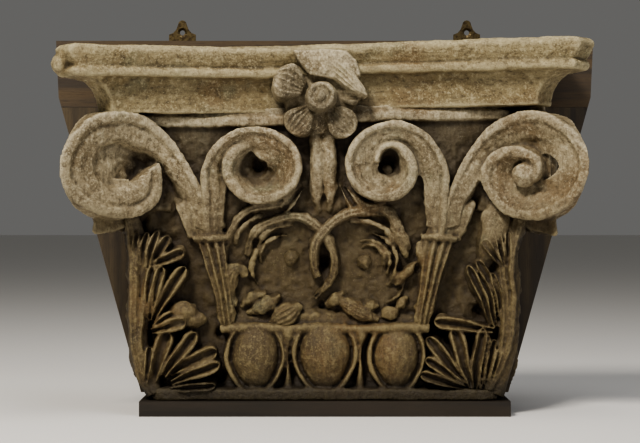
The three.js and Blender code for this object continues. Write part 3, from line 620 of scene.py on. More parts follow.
def arc(x, z, radius, first, last, width=6, out=102):
    """A thin carved line round x, z, between two angles in degrees from the right."""
    turn = np.radians(np.linspace(first, last, 7))
    points = np.stack([x + radius * np.cos(turn), z + radius * np.sin(turn)], axis=-1)
    return vine(points, width, out, pillow, 50, sink=(8, 8))


def rosette(x, z, out, radius):
    """A small seed head: a low dome with a ring of dots on it."""
    yield ball(x, z, out - radius, radius, deep=1.1)
    for turn in np.radians(np.arange(0, 360, 51.5)):
        yield ball(x + 0.66 * radius * np.cos(turn), z + 0.66 * radius * np.sin(turn), out - 5, 3.2)
    yield ball(x, z, out - 1, 3.6)


print("a seed head has", len(list(rosette(0, 0, 100, 11))), "solids")

# %% Stems, pistil and leaves in the middle
# Rows of the small leaves are x, z, width and out, from one end of the leaf to the other.
SMALL_LEAVES = [
    ([[-131, 162, 12, 99], [-139, 184, 24, 106], [-137, 206, 27, 109], [-125, 214, 18, 108],
      [-113, 202, 9, 101]], ribs),
    ([[-114, 149, 7, 98], [-98, 154, 19, 106], [-84, 160, 22, 108], [-65, 174, 7, 102]], ribs),
    ([[-122, 158, 8, 98], [-104, 172, 18, 102], [-86, 179, 9, 98]], pillow),
    ([[-83, 130, 10, 98], [-69, 138, 30, 107], [-52, 148, 34, 109], [-36, 160, 13, 102]], ribs),
    ([[16, 169, 10, 100], [36, 159, 23, 108], [56, 147, 25, 108], [78, 137, 10, 101]], ribs),
    ([[0, 158, 13, 99], [13, 166, 20, 106], [28, 178, 9, 101]], pillow),
    ([[56, 152, 9, 98], [66, 159, 17, 106], [79, 161, 9, 100]], pillow),
    ([[82, 141, 9, 98], [94, 147, 21, 106], [109, 150, 9, 100]], ribs),
    ([[103, 152, 8, 98], [112, 162, 15, 104], [119, 173, 8, 99]], pillow),
    ([[102, 188, 8, 98], [114, 202, 17, 107], [124, 212, 16, 108], [134, 223, 6, 101]], ribs),
]
LEFT_ARCH = [
    [-37, 338], [-45, 324], [-58, 309], [-80, 304], [-105, 300], [-125, 288], [-140, 262], [-147, 225],
]
PISTIL = [
    [[-12, 414, 19, 118], [-11, 350, 19, 115], [-11, 322, 18, 108], [-9, 290, 10, 96]],
    [[6, 414, 19, 118], [7, 350, 20, 115], [8, 322, 18, 108], [6, 290, 10, 96]],
]
STEM_TO_RIGHT = [
    [-9, 199], [-14, 215], [-15, 233], [-12, 249], [-5, 262], [6, 276], [26, 290], [45, 296],
    [64, 297], [90, 290],
]
STEM_TO_LEFT = [
    [-16, 168], [2, 188], [11, 204], [15, 224], [12, 240], [5, 255], [-6, 270], [-20, 282],
    [-36, 289], [-58, 288], [-80, 280], [-98, 269], [-110, 250], [-114, 232],
]
RIGHT_CURL = [
    [76, 306, 14, 103], [95, 291, 18, 107], [107, 268, 19, 109], [114, 248, 20, 107], [119, 229, 9, 99],
]
scroll_solids += [
    # the pistil, and the arches that spring from under the inner scrolls
    *(strip(lobe, pillow, count=50) for lobe in PISTIL),
    vine(LEFT_ARCH, 12, 110, sink=(6, 12)),
    vine([[32, 332], [48, 312], [64, 303], [90, 306]], 12, 110, sink=(6, 4)),
    strip(RIGHT_CURL, ribs, count=60),
    vine([[-131, 246], [-125, 268], [-106, 285], [-82, 292]], 8, 106, sink=(8, 8)),
    # the crossing stems, which swell round a slot and meet again at the foot
    vine(STEM_TO_RIGHT, 14, 115, sink=(8, 12)),
    vine(STEM_TO_LEFT, 13, 111, sink=(10, 12)),
    vine([[38, 284], [66, 281], [86, 271], [96, 258], [101, 238]], 9, 106, sink=(2, 8)),
    vine([[-46, 279], [-72, 272], [-90, 260], [-99, 244]], 8, 105, sink=(4, 8)),
    arc(66, 226, 22, -20, 130),
    arc(62, 222, 33, -30, 110),
    arc(60, 220, 45, -45, 80),
    arc(-60, 226, 34, 80, 190, 6),
    arc(-60, 214, 46, 130, 215, 6),
    arc(62, 212, 58, -70, 10, 7, 98),
    # leaves in the round fields
    leaflet(24, 336, -150, 44, 15, out=110),
    leaflet(-32, 334, 142, 46, 15, out=110),
    *(strip(path, section, flare=2.0) for path, section in SMALL_LEAVES),
    leaflet(142, 212, 2, 42, 18, 0, out=108, section=ribs),
    *rosette(56, 222, 99, 11),
    *rosette(-48, 228, 97, 12),
]
print("scroll solids with the middle work:", len(scroll_solids))

# %% [markdown]
# ## Corner volutes
#
# Each corner has two volutes, one seen from the front and one from the side. Their planes are
# turned towards the corner and meet there, so a point is never let through the upright plane
# that halves the corner. The left front volute has lost its middle, which leaves a bare bowl.

# %% Volutes
VOLUTE_TURNS = [215, 180, 135, 90, 45, 0, -45, -90, -135, -180, -225, -270, -315, -360, -450, -540]
VOLUTE_RADII = [150, 101, 87, 86, 91, 94, 79, 70, 68, 68, 51, 34, 26, 21, 18, 15]
BROKEN_RADII = [150, 101, 87, 86, 91, 95, 77, 68, 68, 58, 45, 34, 26, 21, 18, 15]


def volute(side, around):
    """The volute of one side, on the front or around the corner.

    A point with u along the scroll's plane, v up and h in front of the plane is turned by the
    skew, and h is never so low that the point passes the plane that halves the corner.
    """
    c, s = np.cos(VOLUTE_SKEW), np.sin(VOLUTE_SKEW)
    broken = side < 0 and not around
    radii = BROKEN_RADII if broken else VOLUTE_RADII

    def place(u, v, h, behind=False):
        to_corner = (CORNER[0] - VOLUTE[0] - u * c) - (CORNER[1] - VOLUTE[2] - u * s)
        lowest = -to_corner / (c + s)
        depth = np.maximum(h, lowest - 1.0 if behind else lowest * 0.9)
        x, out = VOLUTE[0] + u * c - depth * s, VOLUTE[2] + u * s + depth * c
        if around:
            x, out = CORNER[0] + out - CORNER[1], CORNER[1] + x - CORNER[0]
        return at(side * x, np.maximum(out, CLEAR), VOLUTE[1] + v)

    def radius(d):
        return rim_radius(VOLUTE_TURNS, radii, d)

    def width(d):
        stalk_wide = 26 + 30 * ease(215 - d, 0, 110) + 30 * ease(90 - d, 0, 90)
        if broken:
            lost = np.interp(d, [-200, -180, -160, -120, -60, 0, 60], [40, 24, 16, 12, 9, 5, 3])
            free = radius(d) - lost
        else:
            # the ribbon narrows beside the eye and leaves a hole there
            hole = 30 * np.exp(-(((d - 5) / 48) ** 2))
            inner = np.interp(d, [-540, -360, -315, -270, -225, -180], [13, 16, 18, 20, 32, 52])
            free = np.where(d > -180, radius(d) - radius(d - 360) + 5 - hole, inner)
        return np.maximum(np.minimum(free, stalk_wide), 12)

    def deep(d):
        if broken:
            return 38 - 28 * ease(-d, 50, 120)
        return 14 + 12 * ease(215 - d, 20, 110) - 15 * ease(-d, 190, 270)

    scroll = dict(
        turns=VOLUTE_TURNS,
        radii=radii,
        width=width,
        rise=lambda d: 22 - 22 * ease(215 - d, 0, 80) + 2 * ease(-d, 60, 180) - 3 * ease(-d, 230, 380),
        deep=deep,
        crescent=lambda d: (4 if broken else 34) * np.exp(-(((d - 5) / 60) ** 2)),
        bead=lambda d: 15 - 3 * ease(d, 90, 180) + 3 * ease(-d, 160, 300),
        place=place,
        back=-52,
        pit=0.55 if broken else 0.0,
    )
    first = 150 if around else 215
    cuts = [first, 40, -80, -193] if broken else [first, 40, -80, -190, -310, -440]
    solids = lapped(cuts, 8, **scroll)
    if broken:
        # the floor of the bare bowl
        disc = np.linspace(0, 2 * np.pi, 49)[:-1]
        depths, reach = np.array([-52, -48, -45])[:, None], np.array([50, 50, 44])[:, None]
        solids.append(place(reach * np.cos(disc), reach * np.sin(disc), depths + 0 * disc, True))
    else:
        # the eye, in the scroll's own plane
        solids.append(ball(-5, -5, -9, 18, place=lambda x, out, z: place(x, z, out)))
    return solids


# x and out of the block behind both volutes of a corner, seen from above
BLOCK = [[200, 60], [225, 96], [290, 104], [332, 140], [324, 110], [292, 60], [286, 0], [200, 0]]
BLOCK_FOOT, BLOCK_TOP = 262, 446  # z of its lowest and its highest points


def corner_block(side):
    """The plain block of a corner. Its foot rises towards the bell."""
    plan = through([*BLOCK, BLOCK[0]], 73)[:-1]
    share = np.array([0, 0.02, 0.4, 1])[:, None]
    draw = np.array([2, -2, 6, 14])[:, None]
    x = plan[None, :, 0] - draw * ease(plan[None, :, 0], 225, 280)
    out = plan[None, :, 1] - draw * ease(plan[None, :, 1], 60, 100)
    foot = BLOCK_FOOT + 34 * ease(330 - x, 5, 90)
    top = BLOCK_TOP + lift(side * x)
    return at(side * x, np.maximum(out, CLEAR), foot + (top - foot) * share)


volute_solids = []
for hand in (-1, 1):
    volute_solids += [*volute(hand, False), *volute(hand, True), corner_block(hand)]
print("volute solids:", len(volute_solids))

# %% [markdown]
# ## Corner leaves
#
# An acanthus leaf wraps each lower corner. It is one stem with fans of slender leaflets, each a
# little trough with raised lips, and deep shadow between them. The fans of the front are mirrored
# round the edge for the hidden sides, where fewer leaflets are carved.

# %% Leaves
# Each row is x, z, the lean in degrees towards the middle, length, width and how far it bends.
LEFT_LEAVES = np.array(
    [
        [247, 48, 10, 78, 24, 8], [233, 56, 30, 80, 22, 10], [224, 60, 56, 76, 24, 12],
        [221, 46, 64, 76, 18, 6], [233, 34, 80, 76, 13, 4], [258, 40, 4, 60, 12, 4],
        [254, 138, -8, 78, 16, 18], [255, 142, 10, 76, 18, 8], [251, 138, 28, 92, 19, 8],
        [252, 122, 62, 54, 20, 22], [250, 128, 50, 40, 16, 20],
        [273, 206, -2, 62, 10, 2], [266, 206, 5, 62, 10, 2], [259, 210, 14, 60, 13, 2],
        [255, 214, 30, 54, 15, 4], [252, 217, 60, 52, 18, 12],
    ]
)
RIGHT_LEAVES = np.array(
    [
        [216, 38, -7, 90, 20, -4], [212, 40, 13, 90, 20, 6], [206, 44, 36, 90, 20, 8],
        [201, 47, 54, 64, 15, 6], [201, 41, 70, 64, 16, 6], [225, 38, -8, 80, 9, -4],
        [232, 38, -10, 74, 9, -4], [240, 44, -14, 56, 9, -4],
        [246, 123, 80, 88, 19, 2], [243, 130, 17, 94, 14, 10], [250, 128, 15, 88, 13, 8],
        [256, 140, 4, 70, 12, 16], [254, 165, 24, 68, 14, 10], [262, 214, 12, 50, 11, 4],
        [268, 218, 2, 48, 11, 2], [256, 218, 34, 46, 14, 6],
    ]
)
# The ridges on the wide stem: their points of x and z, width and out.
LEFT_STEMS = [
    ([[250, 30], [262, 50], [272, 80], [276, 120], [277, 172], [277, 224], [286, 284]], 15, 119),
    ([[256, 50], [263, 77], [266, 142], [260, 207]], 9, 118),
]
RIGHT_STEMS = [
    ([[238, 36], [258, 74], [269, 120], [273, 172], [271, 210], [283, 284]], 10, 120),
    ([[244, 52], [258, 92], [262, 124], [261, 171], [256, 224]], 15, 117),
]
# x and z of the wide stem that the leaflets grow from
LEAF_STEM = [[248, 30], [256, 54], [263, 80], [269, 120], [271, 150], [271, 185], [269, 232], [284, 290]]


def corner_leaf(side, rows, stems):
    """A wide stem that hides the corner of the bell, its ridges, and leaflets on both faces."""

    def around(x, out, z):
        edge_x, edge_out = BELL_EDGE
        return at(side * (edge_x + out - edge_out), np.maximum(edge_out + side * x - edge_x, CLEAR), z)

    yield strip([[side * x, z, 25, 110] for x, z in LEAF_STEM], pillow, count=80, across=25, back=50)
    for points, width, out in stems:
        yield vine([(side * x, z) for x, z in points], width, out, sink=(6, 6))
    for n, (x, z, lean, length, width, bend) in enumerate(rows):
        out = 116 + 2.5 * (n % 2)  # neighbours overlap, so every second one stands prouder
        yield leaflet(x, z, lean, length, width, bend, out, side)
        if n % 3 == 0:
            yield leaflet(x - 6, z, lean, length * 0.9, width + 4, bend, out - 3, side, place=around)


leaf_solids = [*corner_leaf(-1, LEFT_LEAVES, LEFT_STEMS), *corner_leaf(1, RIGHT_LEAVES, RIGHT_STEMS)]
rough_wood = [
    [252, 316, 30, 106], [249, 292, 38, 114], [244, 262, 38, 117], [238, 236, 30, 112],
    [232, 214, 14, 102],
]
leaf_solids += [
    strip(rough_wood, pillow, flare=1.5),
    ball(-204, 150, 98, 17, wide=1.3),
    ball(-192, 140, 96, 14, wide=1.4),
    ball(-214, 138, 100, 13, wide=1.6),
]
print("leaf solids:", len(leaf_solids))

# %% [markdown]
# ## The flower
#
# A flower sits in the middle of the abacus. Five petals are left round its button. What stood
# above them is broken off: a flat rough stub, with three worn ribs, that merges with the band.

# %% Petals and button
def petal(angle, length, width, out, start):
    """A broad cupped petal that begins at a distance from the heart of the flower."""
    x = -FLOWER[0] - np.sin(np.radians(angle)) * start
    z = FLOWER[1] + np.cos(np.radians(angle)) * start
    shape = dict(out=out, section=cup, side=-1, back=100, curl=-5, blunt=0.5)
    return leaflet(x, z, angle, length, width, **shape)


def ring(radius, thick, out):
    """A ring round the heart of the flower: a small circle carried round a large one."""
    turn = np.linspace(0, 2 * np.pi, 49)[:-1, None]
    round_ = np.linspace(0, 2 * np.pi, 13)[None, :-1]
    reach = radius + thick * np.cos(round_)
    x, z = FLOWER[0] + reach * np.cos(turn), FLOWER[1] + reach * np.sin(turn)
    return at(x, out + thick * np.sin(round_), z)


def slab(outline, back, out):
    """A broken flat piece from its outline in x and z, drawn in a little towards its face."""
    outline = np.asarray(outline, float)
    closed = np.concatenate([outline, outline[:1]])
    t = np.linspace(0, len(outline), 97)[:-1]
    x, z = (np.interp(t, np.arange(len(outline) + 1), closed[:, k]) for k in (0, 1))
    draw = np.array([0, 0, 0.02, 0.08, 0.5, 0.97])[:, None]
    level = np.array([back, out - 7, out - 3, out - 1, out + 1, out + 2])[:, None]
    centre = outline.mean(axis=0)
    return at(x + (centre[0] - x) * draw, level, z + (centre[1] - z) * draw)


stub = [
    [-47, 527], [29, 527], [46, 512], [52, 490], [44, 480], [19, 483], [-4, 488], [-23, 490], [-38, 508],
]
stub_ribs = [
    ([[8, 508, 34, 146], [26, 492, 30, 150], [41, 477, 22, 152], [52, 467, 14, 150],
      [60, 460, 5, 146]], ribs),
    ([[-6, 520, 30, 146], [4, 500, 22, 148], [12, 488, 10, 146]], ribs),
    ([[-34, 518, 18, 144], [-24, 503, 16, 147], [-18, 492, 8, 145]], pillow),
]
flower_solids = [
    petal(-66, 46, 54, 150, 27),
    petal(-139, 46, 46, 140, 22),
    petal(141, 48, 46, 139, 22),
    petal(88, 32, 28, 137, 26),
    petal(180, 34, 26, 130, 20),
    slab(stub, 100, 146),
    *(strip(path, section, flare=1.5) for path, section in stub_ribs),
    ball(FLOWER[0], FLOWER[1] + 2, 108, 54, deep=0.42),
    ball(FLOWER[0], FLOWER[1] - 1, 137, 23, deep=0.8),
    ring(16, 3.5, 152),
    ball(FLOWER[0], FLOWER[1], 153, 7),
]
print("flower solids:", len(flower_solids))

# %% [markdown]
# ## Melting the forms together
#
# Real carving is one piece of wood under layers of primer and paint, so its forms run into each
# other with small soft fillets. A voxel remesh gives that: it turns all the overlapping skins
# of a group into one closed skin. The voxel is 1.2 mm for the flower and up to 2.2 mm for the
# plain abacus, close to the paint's own roundness. A short smoothing then takes the stair steps
# away, and hollows that were shut in between the forms are deleted.

# %% Remesh a group
def bake(piece):
    """Replaces the piece's mesh by what its modifiers make of it."""
    evaluated = piece.evaluated_get(bpy.context.evaluated_depsgraph_get())
    made = bpy.data.meshes.new_from_object(evaluated)
    piece.modifiers.clear()
    old, piece.data = piece.data, made
    bpy.data.meshes.remove(old)


def edges_of(mesh):
    """The two points of each edge."""
    edges = np.empty(len(mesh.edges) * 2, np.int32)
    mesh.edges.foreach_get("vertices", edges)
    return edges.reshape(-1, 2)


def drop_bubbles(piece, least=400):
    """Deletes islands of fewer than "least" points.

    Each point takes the lowest label among its neighbours until nothing changes, so the points
    of one island end up with one label.
    """
    mesh = piece.data
    a, b = edges_of(mesh).T
    label = np.arange(len(mesh.vertices))
    while (label[a] != label[b]).any():
        low = np.minimum(label[a], label[b])
        np.minimum.at(label, label[a], low)
        np.minimum.at(label, label[b], low)
        label = label[label]
    small = np.flatnonzero(np.bincount(label, minlength=len(label))[label] < least)
    if len(small):
        work = bmesh.new()
        work.from_mesh(mesh)
        work.verts.ensure_lookup_table()
        bmesh.ops.delete(work, geom=[work.verts[i] for i in small], context="VERTS")
        work.to_mesh(mesh)
        work.free()


def melted(name, solids, voxel, smooth=3):
    """One closed skin from many, with its modifiers already applied."""
    piece = mesh_of(name, solids)
    remesh = piece.modifiers.new("melt", "REMESH")
    remesh.mode = "VOXEL"
    remesh.voxel_size = voxel * MM
    soften = piece.modifiers.new("soften", "SMOOTH")
    soften.factor = 0.5
    soften.iterations = smooth
    bake(piece)
    drop_bubbles(piece)
    print(name, "melted:", len(piece.data.polygons), "faces")
    return piece


# the solids of each piece, its voxel in millimetres, and its rounds of smoothing if not three
GROUPS = {
    "carved_abacus": (abacus_solids, 2.2),
    "carved_bell": (bell_solids, 2.0),
    "carved_scrollwork": (scroll_solids, 1.6),
    "carved_volutes": (volute_solids, 1.8),
    "carved_leaves": (leaf_solids, 1.5, 2),
    "carved_flower": (flower_solids, 1.2),
}
carved = {name: melted(name, *group) for name, group in GROUPS.items()}

# %% [markdown]
# ## Rough old paint
#
# Noise made from a grid of random numbers, read smoothly between its points, is enough for worn
# paint: a slow swell for the carver's hand, a middle one for lumps in the primer, and a fine one
# for the stipple. Points are pushed along their normals by the sum.

# %% Noise and normals
SIDE = 64  # of the cube of random numbers, which repeats after that many steps
GRID = np.random.default_rng(7).random((SIDE, SIDE, SIDE)) * 2 - 1


def noise(points, size, seed=0):
    """Smooth noise from -1 to 1 that changes over about "size" millimetres."""
    p = points / size + seed * 17.3
    cell = np.floor(p).astype(int)
    f = p - cell
    f = f * f * (3 - 2 * f)
    value = np.zeros(len(p))
    for corner in np.ndindex(2, 2, 2):
        weight = np.prod(np.where(np.array(corner), f, 1 - f), axis=1)
        i = (cell + corner) % SIDE
        value += weight * GRID[i[:, 0], i[:, 1], i[:, 2]]
    return value


def read(rows, what):
    """Rows of three numbers from the points of a mesh ("co") or from their normals ("vector")."""
    values = np.empty(len(rows) * 3, np.float32)
    rows.foreach_get(what, values)
    return values.reshape(-1, 3).astype(float)


def roughen(piece, stretch, grain, lumps, stipple, sway):
    """Pushes the points of a piece in and out along their normals, up to the given millimetres.

    "sway" first moves the forms sideways by slow noise, as no two strokes of a carver are alike.
    """
    mesh = piece.data
    points, normals = read(mesh.vertices, "co"), read(mesh.vertex_normals, "vector")
    p = points / MM
    out = FACE_Y - p[:, 1]
    free = ease(out, 2, 12) * ease(p[:, 2], 24, 45)
    points[:, 0] += sway * MM * free * noise(p, 33, 9)
    points[:, 2] += sway * MM * free * noise(p, 33, 10)
    push = 0.9 * noise(p, 42, 1) + lumps * noise(p, 13, 2) + 0.8 * lumps * noise(p, 6, 3)
    push += grain * noise(p * stretch, 3.5, 6)
    bare = (1 - ease(out, 100, 109)) * ease(p[:, 2], 125, 145) * (1 - ease(p[:, 2], 395, 415))
    push += bare * (2.6 * noise(p, 17, 7) + 2.0 * noise(p, 8, 8) + 0.8 * noise(p, 4, 11))
    push += stipple * noise(p, 2.6, 4) * (0.6 + 0.4 * noise(p, 30, 5))
    push *= ease(out, 2, 12)
    points += normals * (push * MM)[:, None]
    mesh.vertices.foreach_set("co", points.astype(np.float32).ravel())
    mesh.update()


ALONG, DOWN = (0.08, 1, 1), (1, 1, 0.12)  # the way the grain runs, where noise changes slowly
# the grain's way, then grain, lumps, stipple and sway in millimetres
ROUGHNESS = {
    "carved_abacus": (ALONG, 0.5, 0.3, 0.6, 0.8),
    "carved_bell": (DOWN, 0.6, 0.45, 0.4, 1.2),
    "carved_scrollwork": (DOWN, 0.3, 0.6, 0.6, 1.7),
    "carved_volutes": (DOWN, 0.2, 0.6, 0.8, 2.4),
    "carved_leaves": (DOWN, 0.2, 0.7, 0.5, 2.4),
    "carved_flower": (DOWN, 0.3, 0.7, 0.5, 1.5),
}
for name, measures in ROUGHNESS.items():
    roughen(carved[name], *measures)
print("roughened", len(carved), "pieces")

# %% [markdown]
# ## Where dirt and painted shade settle, and where hands have been
#
# The paint is pale on every ridge and nearly black in every hollow, where old dirt lies and
# where shade is painted in. Both come from the shape, so the shape is measured. For ridges each
# point is compared with the average of its neighbours. For shelter, which darkens the paint as
# dirt and as painted shade, a map of the front is made first: how far out the work stands at each
# x and z. Then each point looks around itself in twelve directions. How steeply the work rises
# there, on average, says how deep between its neighbours the point lies.

# %% Worn places and the average of neighbours
RIDGE = 1.1  # the height above its surroundings, in millimetres, at which a ridge counts as 1
# x, z and radius of newer breaks
FRESH = [(-318, 282, 24), (246, 275, 30), (2, 510, 34), (34, 495, 24), (54, 470, 14)]
GAP_SHADOW_PLACE = (313, 358)  # x and z of a painted shadow in the gap between the right volute's eye and its outer turn


def averaged(points, edges, rounds):
    """Points after each has moved halfway to the mean of its neighbours, several times."""
    count = len(points)
    a, b = edges[:, 0], edges[:, 1]
    degree = np.bincount(a, minlength=count) + np.bincount(b, minlength=count)
    moved = points.copy()
    for _ in range(rounds):
        pulls = [
            np.bincount(a, moved[b, axis], count) + np.bincount(b, moved[a, axis], count)
            for axis in range(3)
        ]
        total = np.stack(pulls, axis=-1)
        moved = 0.5 * moved + 0.5 * total / np.maximum(degree, 1)[:, None]
    return moved


print("newer breaks:", len(FRESH))

# %% A map of the front, and how sheltered a point is
REACHES = (5, 9, 15, 24, 38)  # how far a point looks around itself, in millimetres
STEEP = 1.5  # a rise that shuts a point in altogether
CELL = 2.5  # size of a cell of the front's map, in millimetres
MAP_CELLS = (336, 240)  # cells along x and z
MAP_CORNER = (-420, -10)  # x and z where the map begins


def cell_of(x, z):
    """The map's cell at x, z."""
    return tuple(
        np.clip(((value - first) / CELL).astype(int), 0, cells - 1)
        for value, first, cells in zip((x, z), MAP_CORNER, MAP_CELLS)
    )


def front_map(pieces):
    """How far out the work stands over a grid of x and z, with pinholes filled."""
    far_out = np.zeros(MAP_CELLS)
    for piece in pieces:
        p = read(piece.data.vertices, "co") / MM
        np.maximum.at(far_out, cell_of(p[:, 0], p[:, 2]), FACE_Y - p[:, 1])
    around = [np.roll(far_out, (i, j), (0, 1)) for i in (-1, 0, 1) for j in (-1, 0, 1)]
    return np.where(far_out > 0, far_out, np.median(around, axis=0))


# how sheltered a point is; the paint darkens by it as dirt and as painted shade
def dirt_and_shade(p, far_out):
    """0 where a point stands free, towards 1 where the work rises steeply all round it.

    In each direction it takes the steepest rise to any of the reaches, up to STEEP.
    """
    total = np.zeros(len(p))
    out = FACE_Y - p[:, 1]
    for turn in np.radians(np.arange(0, 360, 30)):
        highest = np.zeros(len(p))
        for reach in REACHES:
            i, j = cell_of(p[:, 0] + reach * np.cos(turn), p[:, 2] + reach * np.sin(turn))
            highest = np.maximum(highest, (far_out[i, j] - out - 1.5) / reach)
        total += np.clip(highest, 0, STEEP) / STEEP
    return total / 12


front = front_map(carved.values())
print("the front stands out", round(front.max(), 1), "mm at most")

# %% Wear of each piece
def measure_wear(piece, far_out):
    """Writes "edge", above 0 on ridges and below it in creases, "shelter", and "bare".

    Bare is where no cream coat is left: the face of the bell between the carved forms, and
    partly the flower. Newer breaks get less dirt and less painted shade, and are not bare.
    """
    mesh = piece.data
    points, normals = read(mesh.vertices, "co") / MM, read(mesh.vertex_normals, "vector")
    edges = edges_of(mesh)
    near = averaged(points, edges, 3)
    far = averaged(near, edges, 22)
    ridge = np.clip(((near - far) * normals).sum(axis=1) / RIDGE, -2, 2)
    out = FACE_Y - points[:, 1]
    x, z = points[:, 0], points[:, 2]
    face = np.interp(z, PLAIN_FACE[:, 0], PLAIN_FACE[:, 1])
    bare = (1 - ease(out - face, 3, 9)) * ease(z, 45, 60) * (1 - ease(z, 424, 432)) * (np.abs(x) < 260)
    open_bowl = ease(z, 265, 300) * ease(out, 104, 114)
    fresh = sum(np.exp(-(((x - a) / r) ** 2) - (((z - b) / r) ** 2)) for a, b, r in FRESH)
    fresh = np.clip(fresh, 0, 1)
    in_flower = (1 - ease(np.hypot(x - FLOWER[0], z - FLOWER[1]), 56, 70)) * ease(out, 104, 112)
    bare = np.maximum(bare, 0.62 * in_flower * (1 - fresh))
    # sheltered places darken as dirt and as painted shade; open bowls high on the scrolls and newer
    # breaks get less of it
    shade_and_dirt_share = dirt_and_shade(points, far_out) * (1 - 0.72 * open_bowl) * (1 - 0.7 * fresh) * (1 - 0.2 * bare)
    # a painted shadow darkens the deep gap beside the right volute's eye
    painted_gap_shadow = np.exp(-(((x - GAP_SHADOW_PLACE[0]) / 10) ** 2) - (((z - GAP_SHADOW_PLACE[1]) / 17) ** 2))
    shade_and_dirt_share += 0.9 * painted_gap_shadow * (1 - ease(out, 118, 140))
    for name, value in (("edge", ridge + 0.5 * fresh), ("dirt_and_shade", shade_and_dirt_share), ("bare", bare)):
        layer = mesh.attributes.new(name, "FLOAT", "POINT")
        layer.data.foreach_set("value", value.astype(np.float32))
    return ridge.std()


for piece in carved.values():
    print(piece.name, "ridge spread", round(measure_wear(piece, front), 3))

# %% [markdown]
# ## Fewer faces where nothing happens
#
# The backs and other plain parts have as many faces as the carved front. A collapse takes them
# out where the surface is flat, and keeps them where it turns.

# %% Thin the meshes
# the most triangles of each piece
BUDGET = {
    "carved_abacus": 130000,
    "carved_bell": 150000,
    "carved_scrollwork": 190000,
    "carved_volutes": 190000,
    "carved_leaves": 170000,
    "carved_flower": 60000,
}


def thin(piece, most):
    """Collapses edges until the piece has at most that many triangles; returns what it had."""
    triangles = sum(len(p.vertices) - 2 for p in piece.data.polygons)
    if triangles > most:
        collapse = piece.modifiers.new("thin", "DECIMATE")
        collapse.ratio = most / triangles
        bake(piece)
    piece.data.polygons.foreach_set("use_smooth", np.ones(len(piece.data.polygons), bool))
    return triangles


for name, piece in carved.items():
    before = thin(piece, BUDGET[name])
    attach(piece, "root")
    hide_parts("capital")
    print(name, before, "->", len(piece.data.polygons))

# %% [markdown]
# ## Finishes
#
# Colours are given as they look on a screen, in hex, and turned to linear light once. One small
# function adds a node, sets its inputs and returns it, which keeps each material short enough to
# read from top to bottom.

# %% Colour and node helpers
SMOOTH = {"interpolation_type": "SMOOTHSTEP"}
COLOUR = {"data_type": "RGBA"}
FOURTH = {"noise_dimensions": "4D"}
ADD = {"operation": "ADD"}
MULTIPLY_ADD = {"operation": "MULTIPLY_ADD"}


def hex_colour(text):
    """Linear red, green, blue and alpha from an sRGB hex value."""
    s = np.array([int(text[i : i + 2], 16) for i in (1, 3, 5)]) / 255
    linear = np.where(s <= 0.04045, s / 12.92, ((s + 0.055) / 1.055) ** 2.4)
    return (*linear.tolist(), 1.0)


def add(tree, kind, settings=None, **inputs):
    """Adds a node. settings are its own properties; inputs are values or other nodes' outputs."""
    node = tree.nodes.new("ShaderNode" + kind)
    for key, value in (settings or {}).items():
        setattr(node, key, value)
    for key, value in inputs.items():
        socket = node.inputs[int(key[1:])] if key[1:].isdigit() else node.inputs[key.replace("_", " ")]
        if isinstance(value, bpy.types.NodeSocket):
            tree.links.new(value, socket)
        else:
            socket.default_value = value
    return node


def layered(tree, colour, layers):
    """Colours laid over each other, from the lowest to the last.

    A row is a pattern, the values where it starts and is full, the most it covers, and a colour.
    """
    for pattern, low, high, most, over in layers:
        share = add(tree, "MapRange", SMOOTH, i0=pattern, i1=low, i2=high, i3=0.0, i4=most).outputs[0]
        base, over = (hex_colour(c) if isinstance(c, str) else c for c in (colour, over))
        colour = add(tree, "Mix", COLOUR, i0=share, i6=base, i7=over).outputs[2]
    return colour


def new_material(name):
    """An empty material with its Principled shader, which is returned with its tree."""
    material = bpy.data.materials.new(name)
    material.use_nodes = True
    tree = material.node_tree
    return material, tree, tree.nodes["Principled BSDF"]


print("cream in linear light:", [round(v, 3) for v in hex_colour("#cfc5a8")[:3]])
